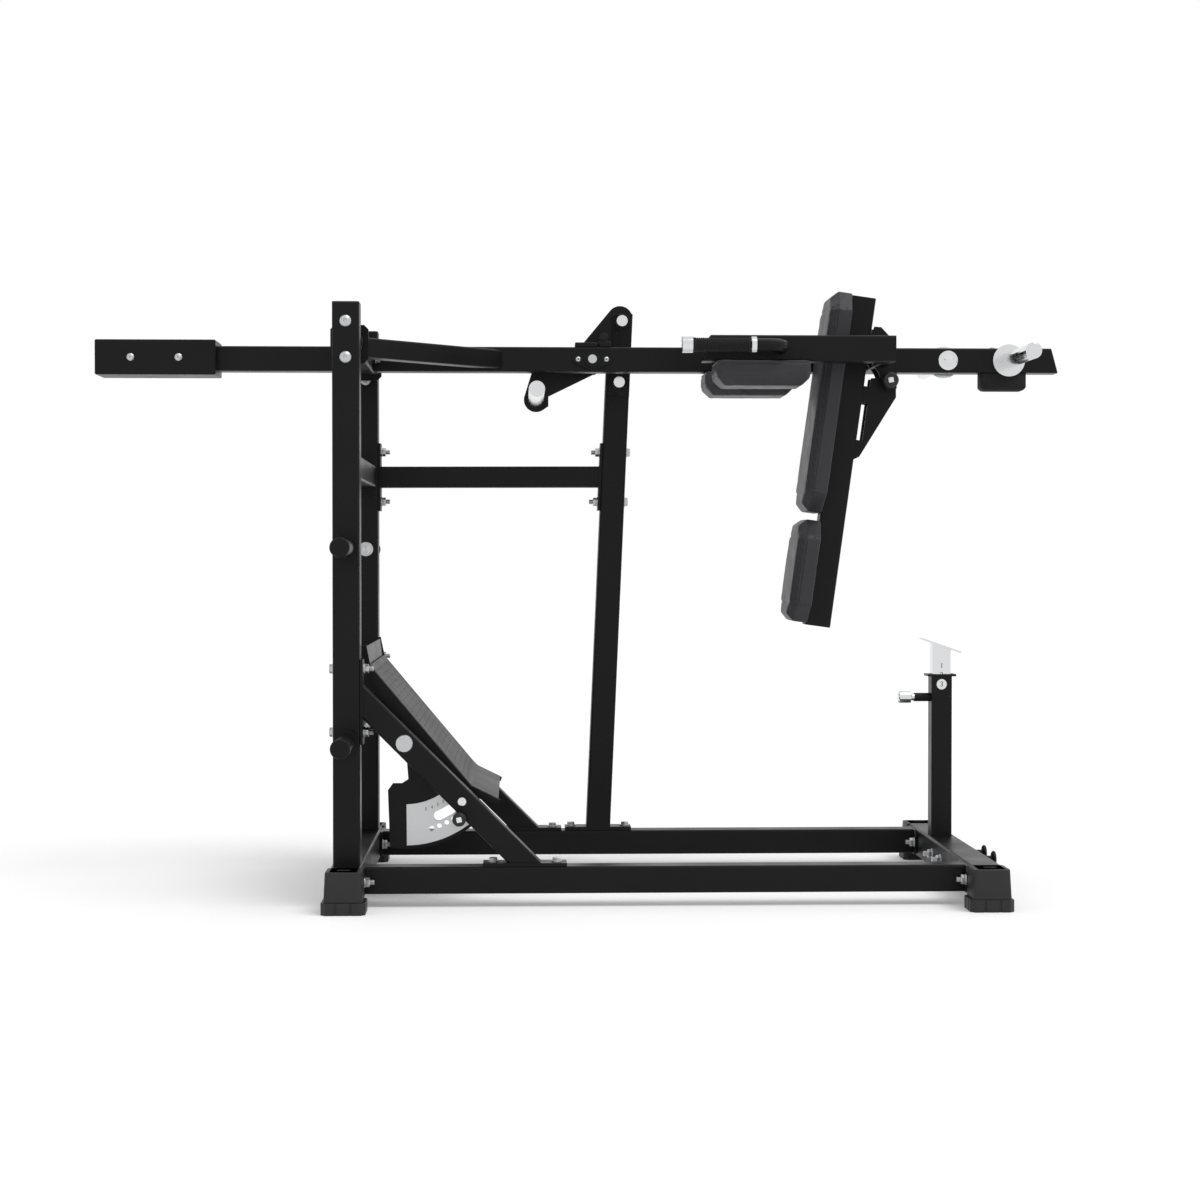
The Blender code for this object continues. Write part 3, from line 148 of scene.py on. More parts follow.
class SquatSizes(bpy.types.PropertyGroup):
    """Sizes of the pads, the bolts and the trim, in metres."""

    pad_swell: length_setting("Pad swell", "How far the foam may push the cover out", 0.0035, 0, 0.02)
    back_voxel: length_setting("Back pad grid", "Size of the back pads' cloth grid", 0.006, 0.003, 0.02)
    shoulder_voxel: length_setting(
        "Shoulder pad grid", "Size of the shoulder pads' cloth grid", 0.005, 0.003, 0.02)
    seam_depth: length_setting("Seam depth", "Depth of the sewn seams", 0.0022, 0, 0.01)
    nut_radius: length_setting(
        "Nut radius", "Radius over the corners of the flange nuts", 0.0140, 0.004, 0.03)
    dome_radius: length_setting("Dome bolt radius", "Radius of the uprights' dome bolts", 0.017, 0.004, 0.03)
    slot_length: length_setting("Slot length", "Length of the tread's slots", 0.025, 0.005, 0.06)
    slot_grid: length_setting("Slot width", "Width of the tread's slots", 0.005, 0.004, 0.02)
    number_height: length_setting("Number height", "Height of the catch tube's numbers", 0.017, 0.005, 0.03)
    grip_ribs: bpy.props.IntProperty(
        name="Grip ribs", description="Ribs along each rubber grip", default=26, min=4, max=60)


# Modelling helpers
def activate(*pieces):
    """Leaves only these pieces selected, with the first one active."""
    bpy.ops.object.select_all(action="DESELECT")
    for piece in pieces:
        piece.select_set(True)
    bpy.context.view_layer.objects.active = pieces[0]


def deselect():
    """Leaves nothing selected, so that the next operator acts on its own piece."""
    bpy.ops.object.select_all(action="DESELECT")


def block(name, low, high):
    """A box between two corners, ready to be shaped."""
    deselect()
    low = Vector(low)
    high = Vector(high)
    bpy.ops.mesh.primitive_cube_add(size=1, location=(low + high) / 2, scale=high - low)
    bpy.ops.object.transform_apply(location=True, rotation=True, scale=True)
    piece = bpy.context.object
    piece.name = name
    return piece


def pick(piece, kind, test):
    """Selects in edit mode the faces, edges or points that pass a test."""
    bpy.ops.mesh.select_mode(type=kind)
    bpy.ops.mesh.select_all(action="DESELECT")
    shape = bmesh.from_edit_mesh(piece.data)
    items = {"FACE": shape.faces, "EDGE": shape.edges, "VERT": shape.verts}[kind]
    chosen = [item for item in items if test(item)]
    if not chosen:
        raise RuntimeError(f"{piece.name}: nothing passes the selection test")
    for item in chosen:
        item.select_set(True)
    bmesh.update_edit_mesh(piece.data)


def bevel_edges(piece, test, width, segments=1):
    """Bevels the edges whose two ends pass a test."""
    activate(piece)
    bpy.ops.object.mode_set(mode="EDIT")
    pick(piece, "EDGE", lambda edge: test(edge.verts[0].co, edge.verts[1].co))
    bpy.ops.mesh.bevel(offset=width, segments=segments, affect="EDGES")
    bpy.ops.object.mode_set(mode="OBJECT")


def soften(piece, width, segments=2, angle=30):
    """Rounds every sharp edge with an applied bevel modifier."""
    activate(piece)
    modifier = piece.modifiers.new("soften", "BEVEL")
    modifier.width = width
    modifier.segments = segments
    modifier.limit_method = "ANGLE"
    modifier.angle_limit = math.radians(angle)
    bpy.ops.object.modifier_apply(modifier=modifier.name)
    bpy.ops.object.shade_smooth_by_angle(angle=math.radians(angle))


def close_shape(piece, angle=35):
    """Merges doubles, turns the faces outwards and smooths the gentle edges."""
    activate(piece)
    bpy.ops.object.mode_set(mode="EDIT")
    bpy.ops.mesh.select_all(action="SELECT")
    bpy.ops.mesh.remove_doubles(threshold=0.00001)
    bpy.ops.mesh.normals_make_consistent(inside=False)
    bpy.ops.object.mode_set(mode="OBJECT")
    bpy.ops.object.shade_smooth_by_angle(angle=math.radians(angle))


def turned(name, profile, sides=40):
    """A closed turned shape on the Z axis, from profile points of height and radius."""
    deselect()
    height, radius = profile[0]
    bpy.ops.mesh.primitive_circle_add(
        vertices=sides, radius=radius, fill_type="NGON", location=(0, 0, height))
    bpy.ops.object.transform_apply(location=True, rotation=True, scale=True)
    piece = bpy.context.object
    piece.name = name
    bpy.ops.object.mode_set(mode="EDIT")
    bpy.ops.mesh.select_all(action="SELECT")
    for next_height, next_radius in profile[1:]:
        step = (0, 0, next_height - height)
        bpy.ops.mesh.extrude_region_move(TRANSFORM_OT_translate={"value": step})
        factor = next_radius / radius
        bpy.ops.transform.resize(value=(factor, factor, 1), center_override=(0, 0, next_height))
        height, radius = next_height, next_radius
    bpy.ops.object.mode_set(mode="OBJECT")
    close_shape(piece)
    return piece


def facing(point, axis):
    """The matrix that puts a turned shape's base on a point with its Z axis along an axis."""
    turn = Vector(axis).to_track_quat("Z", "Y").to_matrix().to_4x4()
    return Matrix.Translation(Vector(point)) @ turn


def joined(name, pieces):
    """One piece from several."""
    activate(*pieces)
    if len(pieces) > 1:
        bpy.ops.object.join()
    piece = bpy.context.view_layer.objects.active
    piece.name = name
    piece.data.name = name
    return piece


def copies(model, places):
    """Copies of a modelled shape, each with its own mesh moved to its place."""
    made = []
    for place in places:
        copy = model.copy()
        copy.data = model.data.copy()
        copy.data.transform(place)
        bpy.context.collection.objects.link(copy)
        made.append(copy)
    return made


def cut(piece, tool):
    """Cuts a tool shape out of a piece with an applied boolean, and removes the tool."""
    activate(piece)
    modifier = piece.modifiers.new("cut", "BOOLEAN")
    modifier.operation = "DIFFERENCE"
    modifier.solver = "EXACT"
    modifier.object = tool
    bpy.ops.object.modifier_apply(modifier=modifier.name)
    bpy.data.objects.remove(tool)
    bpy.ops.object.shade_smooth_by_angle(angle=math.radians(35))


def settle(piece, body, slot, finish=None):
    """Gives a piece its finish, the one named or else the one of its slot, and lets it ride on its body."""
    if finish or not piece.data.materials:
        piece.data.materials.clear()
        piece.data.materials.append(bpy.data.materials[finish or FINISH_OF_SLOT[slot]])
    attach(piece, body)
    return piece


# Material helpers
def add_node(tree, kind, values=None, links=None, **settings):
    """Adds a node with its settings, its input values and the sockets linked into it."""
    node = tree.nodes.new(kind)
    for name, value in settings.items():
        setattr(node, name, value)
    for name, value in (values or {}).items():
        node.inputs[name].default_value = value
    for name, source in (links or {}).items():
        tree.links.new(source, node.inputs[name])
    return node


def start_material(name, **shader_values):
    """A material with its shader's values set, its tree, its shader and its Object coordinates."""
    material = bpy.data.materials.new(name)
    material.use_nodes = True
    tree = material.node_tree
    shader = tree.nodes["Principled BSDF"]
    for key, value in shader_values.items():
        shader.inputs[key.replace("_", " ")].default_value = value
    place = add_node(tree, "ShaderNodeTexCoord").outputs["Object"]
    return tree, shader, place


def blend_colours(tree, first, second, factor):
    """The colour output of a mix of two colours by a factor socket."""
    mix = add_node(tree, "ShaderNodeMix", {6: first, 7: second}, {0: factor}, data_type="RGBA")
    return mix.outputs[2]


def powder_coat(colours):
    """Polyester powder coat, sprayed and baked: deep black, a soft gloss and a fine orange peel."""
    tree, shader, place = start_material("powder_coat", Specular_IOR_Level=0.16, IOR=1.5)
    cloud = add_node(tree, "ShaderNodeTexNoise", {"Scale": 7.0, "Detail": 4.0}, {"Vector": place})
    dusty = tuple(min(1.0, value * 1.9 + 0.0008) for value in colours.paint[:3]) + (1.0,)
    colour = blend_colours(tree, tuple(colours.paint), dusty, cloud.outputs["Fac"])
    tree.links.new(colour, shader.inputs["Base Color"])
    rough = add_node(
        tree, "ShaderNodeMapRange", {1: 0.3, 2: 0.7, 3: 0.33, 4: 0.43}, {0: cloud.outputs["Fac"]})
    tree.links.new(rough.outputs[0], shader.inputs["Roughness"])
    # The real peel is about 1.5 mm across, too fine for the render, so it is drawn 4 mm across
    peel = add_node(tree, "ShaderNodeTexNoise", {"Scale": 1 / 0.004, "Detail": 2.0}, {"Vector": place})
    bump = add_node(
        tree, "ShaderNodeBump", {"Strength": 0.25, "Distance": 0.0002}, {"Height": peel.outputs["Fac"]})
    tree.links.new(bump.outputs["Normal"], shader.inputs["Normal"])


def chrome_plate(colours):
    """Chrome on polished steel tube: bright and sharp, with faint smudges of handling."""
    tree, shader, place = start_material("chrome_plate", Base_Color=tuple(colours.chrome), Metallic=1.0)
    smudge = add_node(tree, "ShaderNodeTexNoise", {"Scale": 22.0, "Detail": 5.0}, {"Vector": place})
    rough = add_node(
        tree, "ShaderNodeMapRange", {1: 0.35, 2: 0.75, 3: 0.10, 4: 0.20}, {0: smudge.outputs["Fac"]})
    tree.links.new(rough.outputs[0], shader.inputs["Roughness"])


def zinc_plate(colours):
    """Bright zinc on rolled and headed steel: silver, a little milky, with faint blotches."""
    tree, shader, place = start_material("zinc_plate", Metallic=1.0)
    blotch = add_node(tree, "ShaderNodeTexNoise", {"Scale": 160.0, "Detail": 3.0}, {"Vector": place})
    dull = tuple(value * 0.72 for value in colours.zinc[:3]) + (1.0,)
    colour = blend_colours(tree, tuple(colours.zinc), dull, blotch.outputs["Fac"])
    tree.links.new(colour, shader.inputs["Base Color"])
    rough = add_node(
        tree, "ShaderNodeMapRange", {1: 0.3, 2: 0.7, 3: 0.28, 4: 0.42}, {0: blotch.outputs["Fac"]})
    tree.links.new(rough.outputs[0], shader.inputs["Roughness"])


def grained(name, colour, specular, roughness, grain, depth):
    """A dark moulded surface with a spark-eroded grain of a given size in metres."""
    tree, shader, place = start_material(name, Specular_IOR_Level=specular)
    cloud = add_node(tree, "ShaderNodeTexNoise", {"Scale": 18.0, "Detail": 4.0}, {"Vector": place})
    worn = tuple(min(1.0, value * 1.7 + 0.001) for value in colour[:3]) + (1.0,)
    tint = blend_colours(tree, tuple(colour), worn, cloud.outputs["Fac"])
    tree.links.new(tint, shader.inputs["Base Color"])
    low, high = roughness
    rough = add_node(tree, "ShaderNodeMapRange", {1: 0.3, 2: 0.7, 3: low, 4: high}, {0: cloud.outputs["Fac"]})
    tree.links.new(rough.outputs[0], shader.inputs["Roughness"])
    cells = add_node(tree, "ShaderNodeTexVoronoi", {"Scale": 1 / grain}, {"Vector": place})
    bump = add_node(
        tree, "ShaderNodeBump", {"Strength": 0.35, "Distance": depth}, {"Height": cells.outputs["Distance"]})
    tree.links.new(bump.outputs["Normal"], shader.inputs["Normal"])


def dotted_vinyl(colours):
    """Embossed PVC leathercloth: small raised dots in rows on a matt black ground."""
    tree, shader, place = start_material("dotted_vinyl", Specular_IOR_Level=0.3)
    # Real dots stand about 2.5 mm apart and are drawn 4 mm apart, so that they still show
    dots = add_node(
        tree, "ShaderNodeTexVoronoi", {"Scale": 1 / 0.004, "Randomness": 0.15}, {"Vector": place})
    round_dot = add_node(
        tree, "ShaderNodeMapRange", {1: 0.18, 2: 0.42, 3: 1.0, 4: 0.0}, {0: dots.outputs["Distance"]})
    colour = blend_colours(tree, tuple(colours.vinyl), tuple(colours.dots), round_dot.outputs[0])
    tree.links.new(colour, shader.inputs["Base Color"])
    rough = add_node(
        tree, "ShaderNodeMapRange", {1: 0.0, 2: 1.0, 3: 0.62, 4: 0.48}, {0: round_dot.outputs[0]})
    tree.links.new(rough.outputs[0], shader.inputs["Roughness"])
    bump = add_node(
        tree, "ShaderNodeBump", {"Strength": 0.6, "Distance": 0.0006}, {"Height": round_dot.outputs[0]})
    tree.links.new(bump.outputs["Normal"], shader.inputs["Normal"])


def tread_coat(colours):
    """Grey anti-slip coat with sand rolled in: matt, speckled and lightly scuffed."""
    tree, shader, place = start_material("tread_coat", Specular_IOR_Level=0.25)
    grit = add_node(tree, "ShaderNodeTexNoise", {"Scale": 1 / 0.003, "Detail": 2.0}, {"Vector": place})
    dark = tuple(value * 0.62 for value in colours.tread[:3]) + (1.0,)
    pale = tuple(min(1.0, value * 1.35) for value in colours.tread[:3]) + (1.0,)
    colour = blend_colours(tree, dark, pale, grit.outputs["Fac"])
    tree.links.new(colour, shader.inputs["Base Color"])
    scuff = add_node(tree, "ShaderNodeTexNoise", {"Scale": 9.0, "Detail": 4.0}, {"Vector": place})
    rough = add_node(
        tree, "ShaderNodeMapRange", {1: 0.3, 2: 0.7, 3: 0.62, 4: 0.85}, {0: scuff.outputs["Fac"]})
    tree.links.new(rough.outputs[0], shader.inputs["Roughness"])
    bump = add_node(
        tree, "ShaderNodeBump", {"Strength": 0.5, "Distance": 0.0005}, {"Height": grit.outputs["Fac"]})
    tree.links.new(bump.outputs["Normal"], shader.inputs["Normal"])


def brushed_aluminium(colours):
    """Aluminium sheet, brushed along its length: pale satin with fine lines that catch the light."""
    tree, shader, place = start_material("brushed_aluminium", Metallic=0.55)
    # Brush lines are about 0.2 mm apart and are drawn 1.5 mm apart, so that they still show
    stretched = add_node(
        tree, "ShaderNodeMapping", {"Scale": (12.0, 60.0, 1 / 0.0015)}, {"Vector": place},
        vector_type="POINT")
    lines = add_node(
        tree, "ShaderNodeTexNoise", {"Scale": 1.0, "Detail": 3.0}, {"Vector": stretched.outputs["Vector"]})
    dark = tuple(value * 0.86 for value in colours.scale[:3]) + (1.0,)
    colour = blend_colours(tree, dark, tuple(colours.scale), lines.outputs["Fac"])
    tree.links.new(colour, shader.inputs["Base Color"])
    rough = add_node(tree, "ShaderNodeMapRange", {1: 0.3, 2: 0.7, 3: 0.34, 4: 0.5}, {0: lines.outputs["Fac"]})
    tree.links.new(rough.outputs[0], shader.inputs["Roughness"])


def even_surface(name, colour):
    """A matt, even surface with slightly paler places."""
    tree, shader, place = start_material(name, Roughness=0.6, Specular_IOR_Level=0.3)
    thin = add_node(tree, "ShaderNodeTexNoise", {"Scale": 300.0, "Detail": 2.0}, {"Vector": place})
    pale = tuple(min(1.0, value * 1.25 + 0.004) for value in colour[:3]) + (1.0,)
    tint = blend_colours(tree, tuple(colour), pale, thin.outputs["Fac"])
    tree.links.new(tint, shader.inputs["Base Color"])


class SQUAT_OT_finishes(bpy.types.Operator):
    """Makes the finishes and gives every solid of the frame the finish of its slot"""

    bl_idname = "squat.finishes"
    bl_label = "Finishes"

    def execute(self, context):
        colours = context.scene.squat_colours
        powder_coat(colours)
        chrome_plate(colours)
        zinc_plate(colours)
        # Polypropylene and nylon, moulded in a grained tool: dark, dull and very slightly pebbled
        grained("moulded_plastic", colours.plastic, 0.35, (0.42, 0.58), 0.004, 0.0003)
        # Natural rubber, pressed: almost black with a dry, soft sheen
        grained("moulded_rubber", colours.rubber, 0.2, (0.70, 0.88), 0.005, 0.0004)
        # PVC leathercloth, rolled smooth: dark grey with a soft highlight and a shallow leather grain
        grained("smooth_vinyl", colours.vinyl, 0.35, (0.40, 0.52), 0.005, 0.0002)
        dotted_vinyl(colours)
        tread_coat(colours)
        brushed_aluminium(colours)
        # Light plastic moulding set in a knob: matt and nearly white
        even_surface("knob_insert", colours.insert)
        # Screen-printed ink: dark and even, a little thin in places
        even_surface("dark_ink", colours.ink)
        for entry in frame["record"]["subparts"]:
            node = frame["nodes"].get(entry["node"])
            if node is None:
                raise RuntimeError(f"no solid named {entry['node']}")
            material = bpy.data.materials[FINISH_OF_SLOT[entry["material_slot"]]]
            if not node.material_slots:
                raise RuntimeError(f"{entry['node']} has no material slot")
            for material_slot in node.material_slots:
                material_slot.material = material
        return {"FINISHED"}


# Soft pieces
def swell(piece, voxel, limit):
    """Fills a closed shape with cloth pressure, and lets no point move further than a limit."""
    activate(piece)
    piece.data.remesh_voxel_size = voxel
    bpy.ops.object.voxel_remesh()
    start = [vertex.co.copy() for vertex in piece.data.vertices]
    modifier = piece.modifiers.new("stuffing", "CLOTH")
    modifier.settings.use_pressure = True
    modifier.settings.uniform_pressure_force = 4
    modifier.settings.effector_weights.gravity = 0
    modifier.settings.quality = 4
    modifier.point_cache.frame_start = 1
    modifier.point_cache.frame_end = 20
    for number in range(1, 21):
        bpy.context.scene.frame_set(number)
    shown = piece.evaluated_get(bpy.context.evaluated_depsgraph_get())
    swollen = [vertex.co.copy() for vertex in shown.data.vertices]
    piece.modifiers.remove(modifier)
    bpy.context.scene.frame_set(1)
    for vertex, old, new in zip(piece.data.vertices, start, swollen):
        move = new - old
        if move.length > limit:
            move = move * (limit / move.length)
        vertex.co = old + move


def subdivide_once(piece):
    """One applied level of subdivision, shaded smooth."""
    activate(piece)
    modifier = piece.modifiers.new("smooth", "SUBSURF")
    modifier.levels = 1
    modifier.render_levels = 1
    bpy.ops.object.modifier_apply(modifier=modifier.name)
    bpy.ops.object.shade_smooth()


def sew(piece, distances, depth, width=0.003):
    """Presses a seam into the cover wherever one of the distance functions is close to nothing."""
    # Reading a normal after a point has moved works all of them out again, so they are read first
    normals = [vertex.normal.copy() for vertex in piece.data.vertices]
    for vertex, normal in zip(piece.data.vertices, normals):
        near = min(abs(distance(vertex.co)) for distance in distances)
        press = depth * math.exp(-((near / width) ** 2))
        vertex.co -= normal * press


def back_pad(name, length, middle, sizes):
    """One pad of the back rest, in the post's own directions and then put on the post's front face."""
    inset = sizes.pad_swell
    half = length / 2 - inset
    low = (0.001, inset - PAD_HALF_WIDTH, -half)
    high = (PAD_THICKNESS - inset, PAD_HALF_WIDTH - inset, half)
    pad = block(name, low, high)
    front_edge = PAD_THICKNESS - 0.01
    bevel_edges(pad, lambda a, b: abs(a.x - b.x) > 0.03, PAD_CORNER)
    bevel_edges(pad, lambda a, b: a.x > front_edge and b.x > front_edge, PAD_SLOPE)
    swell(pad, sizes.back_voxel, inset)
    subdivide_once(pad)
    for vertex in pad.data.vertices:
        vertex.co.x = max(vertex.co.x, 0.0)
    ends = length / 2 - PAD_END_SEAM
    edge = PAD_HALF_WIDTH - 0.020
    seams = [
        lambda co: abs(co.z) - ends if co.x > 0.02 else 1.0,
        lambda co: abs(co.y) - edge if co.x > PAD_THICKNESS - 0.012 and abs(co.z) < ends else 1.0,
        lambda co: co.x - (PAD_THICKNESS - 0.024) if abs(co.y) > edge else 1.0,
    ]
    sew(pad, seams, sizes.seam_depth)
    pad.data.materials.append(bpy.data.materials["smooth_vinyl"])
    pad.data.materials.append(bpy.data.materials["dotted_vinyl"])
    for face in pad.data.polygons:
        slanted = 0.25 < face.normal.x < 0.97 and abs(face.normal.y) > 0.25
        if slanted and abs(face.center.z) < ends:
            face.material_index = 1
    post_up = Vector((math.sin(BACK_LEAN), 0, math.cos(BACK_LEAN)))
    front = Vector((-math.cos(BACK_LEAN), 0, math.sin(BACK_LEAN)))
    place = Matrix((front, -Y_AXIS, post_up)).transposed().to_4x4()
    place.translation = at(1.5500, 0, 1.8535) - post_up * middle
    pad.data.transform(place)
    settle(pad, "back_rest", "vinyl")
    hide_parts(name.replace("_cover", ""))


class SQUAT_OT_back_pads(bpy.types.Operator):
    """Models the back rest's two stuffed pads"""

    bl_idname = "squat.back_pads"
    bl_label = "Back pads"

    def execute(self, context):
        sizes = context.scene.squat_sizes
        back_pad("back_pad_upper_cover", 0.705, 0.3465, sizes)
        back_pad("back_pad_lower_cover", 0.335, 0.8785, sizes)
        return {"FINISHED"}


class SQUAT_OT_shoulder_pads(bpy.types.Operator):
    """Models the two stuffed shoulder pads"""

    bl_idname = "squat.shoulder_pads"
    bl_label = "Shoulder pads"

    def execute(self, context):
        sizes = context.scene.squat_sizes
        inset = sizes.pad_swell
        low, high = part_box("shoulder_pad_near")
        grown = Vector((inset, inset, inset))
        pad = block("shoulder_pad_near_cover", low + grown, high - Vector((inset, inset, 0.001)))
        floor_height = low.z + 0.01
        bevel_edges(pad, lambda a, b: a.z < floor_height and b.z < floor_height, 0.028)
        bevel_edges(pad, lambda a, b: abs(a.z - b.z) > 0.03 and abs(a.x - b.x) < 0.001, 0.012)
        swell(pad, sizes.shoulder_voxel, inset)
        subdivide_once(pad)
        for vertex in pad.data.vertices:
            vertex.co.z = min(vertex.co.z, high.z)
        belt = low.z + 0.031
        rim = high.z - 0.009
        seams = [
            lambda co: co.z - belt,
            lambda co: co.z - rim,
        ]
        sew(pad, seams, sizes.seam_depth)
        mirror = Matrix.Scale(-1, 4, Y_AXIS)
        far = copies(pad, [mirror])[0]
        far.name = "shoulder_pad_far_cover"
        far.data.flip_normals()
        settle(pad, "arm", "vinyl")
        settle(far, "arm", "vinyl")
        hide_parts("shoulder_pad_near")
        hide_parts("shoulder_pad_far")
        return {"FINISHED"}


class SQUAT_OT_grips(bpy.types.Operator):
    """Models the ribbed rubber grips and the chrome collars beside them"""

    bl_idname = "squat.grips"
    bl_label = "Grips and collars"

    def execute(self, context):
        ribs = context.scene.squat_sizes.grip_ribs
        low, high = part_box("grip_near")
        length = high.x - low.x
        radius = (high.z - low.z) / 2
        height = (high.z + low.z) / 2
        profile = [(0, radius - 0.002), (0.001, radius)]
        pitch = (length - 0.016) / ribs
        for number in range(ribs):
            start = 0.008 + number * pitch
            profile += [(start, radius), (start + pitch * 0.2, radius - 0.0018)]
            profile += [(start + pitch * 0.6, radius - 0.0018), (start + pitch * 0.8, radius)]
        profile += [(length - 0.001, radius), (length, radius - 0.002)]
        grip = turned("grip_model", profile, 40)
        collar_profile = [(0, 0.0225), (0.0015, 0.0245), (0.0325, 0.0245), (0.034, 0.0225)]
        collar = turned("collar_model", collar_profile, 48)
        ring_profile = [(0, 0.0225), (0.0015, 0.0245), (0.0162, 0.0245), (0.0177, 0.0225)]
        ring = turned("ring_model", ring_profile, 48)
        for side, word in ((-1, "near"), (1, "far")):
            rubber = copies(grip, [facing((low.x, side * HANDLE_SIDE, height), X_AXIS)])[0]
            rubber.name = f"grip_{word}_ribbed"
            settle(rubber, "arm", "black_rubber")
            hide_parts(f"grip_{word}")
            left = copies(collar, [facing((low.x - 0.034, side * HANDLE_SIDE, height), X_AXIS)])
            right = copies(ring, [facing((high.x, side * HANDLE_SIDE, height), X_AXIS)])
            settle(joined(f"grip_collars_{word}", left + right), "arm", "chrome")
        for model in (grip, collar, ring):
            bpy.data.objects.remove(model)
        return {"FINISHED"}


class SQUAT_OT_bumper(bpy.types.Operator):
    """Models the crowned rubber bumper under the beam's end"""

    bl_idname = "squat.bumper"
    bl_label = "Bumper"

    def execute(self, context):
        low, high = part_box("bumper")
        bumper = block("bumper_crowned", low, high)
        bevel_edges(bumper, lambda a, b: a.z < low.z + 0.001 and b.z < low.z + 0.001, 0.018, 5)
        bevel_edges(bumper, lambda a, b: abs(a.z - b.z) > 0.03 and abs(a.x - b.x) < 0.0001, 0.006, 3)
        soften(bumper, 0.0008, 2, 40)
        settle(bumper, "arm", "black_rubber")
        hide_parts("bumper")
        return {"FINISHED"}


# Feet, tread and caps
class SQUAT_OT_feet(bpy.types.Operator):
    """Models the four moulded feet with their sockets and grooved base pads; their retaining ovals are made
    with the tube caps
    """

    bl_idname = "squat.feet"
    bl_label = "Feet"

    def execute(self, context):
        for end in ("front", "rear"):
            for side, word in ((-1, "near"), (1, "far")):
                self.foot(end, side, word)
        return {"FINISHED"}

    def foot(self, end, side, word):
        """One foot: a tapered socket on a wider base pad with grooved faces."""
        node = f"foot_{end}_{word}"
        low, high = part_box(node)
        middle = (low + high) / 2
        half_x = (high.x - low.x) / 2
        base_top = low.z + 0.036
        base = block("foot_base", low, (high.x, high.y, base_top))
        bevel_edges(base, lambda a, b: abs(a.z - b.z) > 0.02, 0.014, 1)
        for offset in (-0.022, 0.022):
            for face_y in (low.y, high.y):
                groove = block(
                    "groove", (middle.x + offset - 0.003, face_y - 0.003, low.z - 0.01),
                    (middle.x + offset + 0.003, face_y + 0.003, base_top + 0.01))
                cut(base, groove)
            for face_x in (low.x, high.x):
                groove = block(
                    "groove", (face_x - 0.003, middle.y + offset - 0.003, low.z - 0.01),
                    (face_x + 0.003, middle.y + offset + 0.003, base_top + 0.01))
                cut(base, groove)
        soften(base, 0.0015, 2)
        socket = block("foot_socket", (low.x, low.y, base_top), (high.x, high.y, high.z))
        activate(socket)
        bpy.ops.object.mode_set(mode="EDIT")
        pick(socket, "FACE", lambda face: face.normal.z > 0.9)
        taper = (0.052 / half_x, 1 - 0.008 / 0.060, 1)
        bpy.ops.transform.resize(value=taper, center_override=(middle.x, middle.y, high.z))
        pick(socket, "FACE", lambda face: face.normal.z < -0.9)
        spread = (0.056 / half_x, 0.97, 1)
        bpy.ops.transform.resize(value=spread, center_override=(middle.x, middle.y, base_top))
        bpy.ops.object.mode_set(mode="OBJECT")
        bevel_edges(socket, lambda a, b: abs(a.z - b.z) > 0.05, 0.008, 3)
        soften(socket, 0.003, 3)
        foot = joined(f"{node}_moulded", [base, socket])
        settle(foot, "frame", "black_plastic")
        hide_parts(node)


def perforated(name, length, width, slot_length, grid):
    """A flat sheet with staggered slots along its length, one grid cell wide."""
    rows = round(length / grid)
    columns = round(width / grid)
    deselect()
    bpy.ops.mesh.primitive_grid_add(x_subdivisions=rows, y_subdivisions=columns, size=1, location=(0, 0, 0))
    sheet = bpy.context.object
    sheet.name = name
    sheet.scale = (length, width, 1)
    bpy.ops.object.transform_apply(location=True, rotation=True, scale=True)
    cells = round(slot_length / grid)
    period = cells + 3

    def open_cell(face):
        row = int((face.calc_center_median().x + length / 2) / length * rows)
        column = int((face.calc_center_median().y + width / 2) / width * columns)
        if row < 3 or row > rows - 4 or column < 4 or column > columns - 5 or column % 3:
            return False
        shift = period // 2 if (column // 3) % 2 else 0
        return (row + shift) % period < cells

    bpy.ops.object.mode_set(mode="EDIT")
    pick(sheet, "FACE", open_cell)
    bpy.ops.mesh.delete(type="FACE")
    bpy.ops.object.mode_set(mode="OBJECT")
    modifier = sheet.modifiers.new("wall", "SOLIDIFY")
    modifier.thickness = SHEET
    modifier.offset = 1
    bpy.ops.object.modifier_apply(modifier=modifier.name)
    return sheet


class SQUAT_OT_tread(bpy.types.Operator):
    """Models the slotted grey tread, its plain lip and the rounded strip at its top"""

    bl_idname = "squat.tread"
    bl_label = "Footplate tread"

    def execute(self, context):
        sizes = context.scene.squat_sizes
        half = TREAD_HALF
        top = at(0.0630, 0, 0.7042)
        bend = at(0.3650, 0, 0.3436)
        lip = at(0.4440, 0, 0.3050)
        length = (bend - top).length
        tread = perforated("footplate_tread", length, 2 * half, sizes.slot_length, sizes.slot_grid)
        self.lay(tread, top, bend)
        settle(tread, "foot_rest", "black_paint", "tread_coat")
        length = (lip - bend).length
        sheet = block("footplate_lip", (-length / 2, -half, 0), (length / 2, half, SHEET))
        soften(sheet, 0.0008, 2)
        self.lay(sheet, bend, lip)
        settle(sheet, "foot_rest", "black_paint", "tread_coat")
        strip_profile = [(-half, 0.0035), (-half + 0.001, 0.0045), (half - 0.001, 0.0045), (half, 0.0035)]
        strip = turned("footplate_strip", strip_profile, 16)
        strip.data.transform(facing(top, Y_AXIS))
        settle(strip, "foot_rest", "black_paint", "tread_coat")
        return {"FINISHED"}

    def lay(self, sheet, start, end):
        """Lays a flat sheet between two points with its upper face away from the rails."""
        along = (end - start).normalized()
        up = along.cross(Y_AXIS)
        if up.z < 0:
            up = -up
        side = up.cross(along)
        place = Matrix((along, side, up)).transposed().to_4x4()
        place.translation = (start + end) / 2
        sheet.data.transform(place)


